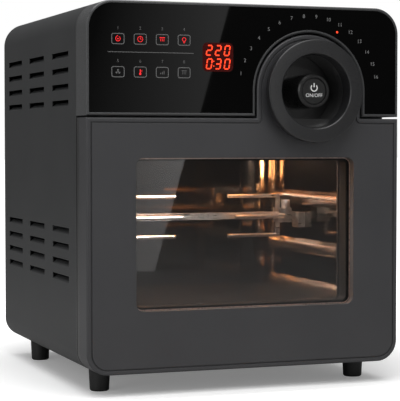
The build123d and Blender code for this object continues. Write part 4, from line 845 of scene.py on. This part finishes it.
def white_ground(name):
    """Matt floor whose white is lifted for the camera alone, less near the oven: painted shade."""
    material, tree, shader, place = new_finish(name)
    drift = noise(tree, place, 3.0)
    path = tree.nodes.new("ShaderNodeLightPath")
    shown = tree.nodes.new("ShaderNodeMix")
    shown.data_type = "RGBA"
    tree.links.new(path.outputs["Is Camera Ray"], shown.inputs["Factor"])
    for socket, (dark, light) in (("A", FLOOR_LIGHTING), ("B", FLOOR_SEEN)):
        tree.links.new(colours(tree, drift, grey(dark), grey(light)), shown.inputs[socket])
    tree.links.new(shown.outputs["Result"], shader.inputs["Base Color"])
    shader.inputs["Roughness"].default_value = 0.6
    shader.inputs["Emission Color"].default_value = (1, 1, 1, 1)
    away = tree.nodes.new("ShaderNodeVectorMath")
    away.operation = "LENGTH"
    tree.links.new(place, away.inputs[0])
    # The lift is lower near the oven: painted shade that darkens the floor round it.
    rise = spread(tree, away.outputs["Value"], (SHADE_NEAR, SHADE_LEVEL), (WHITE_FROM, WHITE_LEVEL))
    lift = maths(tree, "MULTIPLY", rise, path.outputs["Is Camera Ray"])
    tree.links.new(lift, shader.inputs["Emission Strength"])
    return material


ground = bmesh.new()
bmesh.ops.create_grid(ground, x_segments=1, y_segments=1, size=FLOOR_SIZE)
floor_mesh = bpy.data.meshes.new("floor")
ground.to_mesh(floor_mesh)
ground.free()
floor_mesh.materials.append(white_ground("studio_floor"))
floor = bpy.data.objects.new("floor", floor_mesh)
bpy.context.scene.collection.objects.link(floor)

world = bpy.data.worlds.new("studio_air")
bpy.context.scene.world = world
world.use_nodes = True
air = world.node_tree
background = air.nodes["Background"]
background.inputs["Color"].default_value = (1, 1, 1, 1)
path = air.nodes.new("ShaderNodeLightPath")
strength = spread(air, path.outputs["Is Camera Ray"], (0, SKY_LIGHTING), (1, SKY_SEEN))
gleam = spread(air, path.outputs["Is Glossy Ray"], (0, 1.0), (1, SKY_MIRRORED))
air.links.new(maths(air, "MULTIPLY", strength, gleam), background.inputs["Strength"])
print("floor and air ready")

# %% [markdown]
# Three large soft lamps light the outside: one overhead, one from the left and one
# from the front. Three small ones light the chamber from where the oven's own lamp, its
# heater and its mouth are. They are area lamps, which give soft shadows and show only
# from the side that they shine to.

# %% Lamps
LAMP_WARM = (1.0, 0.50, 0.20)
HEATER_RED = (1.0, 0.36, 0.10)
MOUTH_WHITE = (1.0, 0.93, 0.86)


def soft_lamp(name, place, look_at, size, power, colour=(1, 1, 1)):
    """An area lamp, in metres and watts, turned towards look_at."""
    data = bpy.data.lights.new(name, "AREA")
    data.shape = "RECTANGLE"
    data.size, data.size_y = size
    data.energy = power
    data.color = colour
    lamp = bpy.data.objects.new(name, data)
    bpy.context.scene.collection.objects.link(lamp)
    lamp.location = place
    aim = Vector(look_at) - Vector(place)
    lamp.rotation_euler = aim.to_track_quat("-Z", "Y").to_euler()
    return lamp


centre = (solid_low + solid_high) / 2
soft_lamp("overhead", (-0.2, -0.3, 2.3), centre, (2.4, 1.8), 45)
soft_lamp("from_left", (-2.0, -1.25, 0.95), centre, (1.2, 1.6), 10.5)
soft_lamp("from_front", (-0.5, -2.0, 2.2), centre, (1.6, 1.0), 19)
soft_lamp("chamber_lamp", (-0.105, 0.02, 0.225), (0.12, -0.03, 0.13), (0.05, 0.04), 1.4,
          LAMP_WARM)
soft_lamp("heater_glow", (0.0, -0.02, 0.262), (0, -0.02, 0.0), (0.18, 0.14), 0.9, HEATER_RED)
soft_lamp("mouth_glint", (-0.02, -0.108, 0.262), (0.06, 0.0, 0.16), (0.05, 0.02), 3.6,
          MOUTH_WHITE)
print("lamps:", 6)

# %% [markdown]
# The picture is taken from the left front, a little above the middle of the oven, from
# about 1.7 metres away with a long lens.

# %% Camera
PICTURE = (400, 401)
EYE = Vector((-589.9, -1617.5, 252.6)) * MM
TURN_RIGHT = 20.33
FOCAL_PIXELS = 1544.0
HORIZON_PIXEL = 142.0
SENSOR = 36.0
camera_data = bpy.data.cameras.new("camera")
camera = bpy.data.objects.new("camera", camera_data)
bpy.context.scene.collection.objects.link(camera)
camera.location = EYE
down = degrees(atan2(PICTURE[1] / 2 - HORIZON_PIXEL, FOCAL_PIXELS))
camera.rotation_euler = (radians(90 - down), 0, radians(-TURN_RIGHT))
camera_data.sensor_width = SENSOR
camera_data.lens = camera_data.sensor_width * FOCAL_PIXELS / max(PICTURE)
camera_data.clip_start = 0.05
camera_data.clip_end = 30
bpy.context.scene.camera = camera
bpy.context.scene.view_settings.view_transform = "Standard"
print("camera tilted down", round(down, 2), "lens", round(camera_data.lens, 1))

# %% [markdown]
# The glass of the panel and the door mirrors a dim card, an area lamp in front of them.
# Its slanted edge draws the diagonal line across both. The card is placed by the
# picture: a line of sight is followed through the glass, and then folded back. The
# card fades away from that edge and towards the floor, as a large lamp's cloth does.

# %% The mirrored card
EDGE_TOP_PIXEL = (229, 8)
EDGE_LOW_PIXEL = (165, 244)
BESIDE_PIXELS = ((229, 100), (-100, 100))
CARD_FAR = 3.0
CARD_WIDE, CARD_HIGH, CARD_POWER = 1.2, 1.6, 4.6
FADE_SIDEWAYS = ((0.80, 0.05), (1.0, 2.8))
FADE_UPWARDS = ((0.32, 0.45), (0.64, 1.3))
door_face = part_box("door_panel")[0].y
upright = Matrix.Rotation(radians(90 - down), 3, "X")
facing = Matrix.Rotation(radians(-TURN_RIGHT), 3, "Z") @ upright


def mirrored(pixel):
    """Where the thing stands that the glass shows at this pixel."""
    across, up = pixel
    ray = facing @ Vector((across - PICTURE[0] / 2, PICTURE[1] / 2 - up, -FOCAL_PIXELS))
    seen = EYE + ray * CARD_FAR / FOCAL_PIXELS
    return Vector((seen.x, 2 * door_face - seen.y, seen.z))


def fading_card(data):
    """Dims the lamp's face away from its slanted edge and towards the floor."""
    data.use_nodes = True
    tree = data.node_tree
    face = tree.nodes.new("ShaderNodeNewGeometry")
    parts = tree.nodes.new("ShaderNodeSeparateXYZ")
    tree.links.new(face.outputs["Parametric"], parts.inputs[0])
    sideways = spread(tree, parts.outputs["X"], *FADE_SIDEWAYS)
    upwards = spread(tree, parts.outputs["Y"], *FADE_UPWARDS)
    shade = maths(tree, "MULTIPLY", sideways, upwards)
    tree.links.new(shade, tree.nodes["Emission"].inputs["Strength"])


edge_top, edge_low = mirrored(EDGE_TOP_PIXEL), mirrored(EDGE_LOW_PIXEL)
along_edge = (edge_top - edge_low).normalized()
towards_left = mirrored(BESIDE_PIXELS[1]) - mirrored(BESIDE_PIXELS[0])
shine = along_edge.cross(towards_left).normalized()
if shine.dot(Vector((0, -1, 0))) > 0:
    shine = -shine
inward = along_edge.cross(shine).normalized()
if inward.dot(towards_left) < 0:
    inward = -inward
card_data = bpy.data.lights.new("mirrored_card", "AREA")
card_data.shape = "RECTANGLE"
card_data.size, card_data.size_y = CARD_WIDE, CARD_HIGH
card_data.energy = CARD_POWER
fading_card(card_data)
card = bpy.data.objects.new("mirrored_card", card_data)
bpy.context.scene.collection.objects.link(card)
card_middle = (edge_top + edge_low) / 2 + inward * CARD_WIDE / 2
across_card = along_edge.cross(-shine)
turned = Matrix((across_card, along_edge, -shine)).transposed().to_4x4()
card.matrix_world = Matrix.Translation(card_middle) @ turned
print("card middle", [round(value, 2) for value in card_middle])
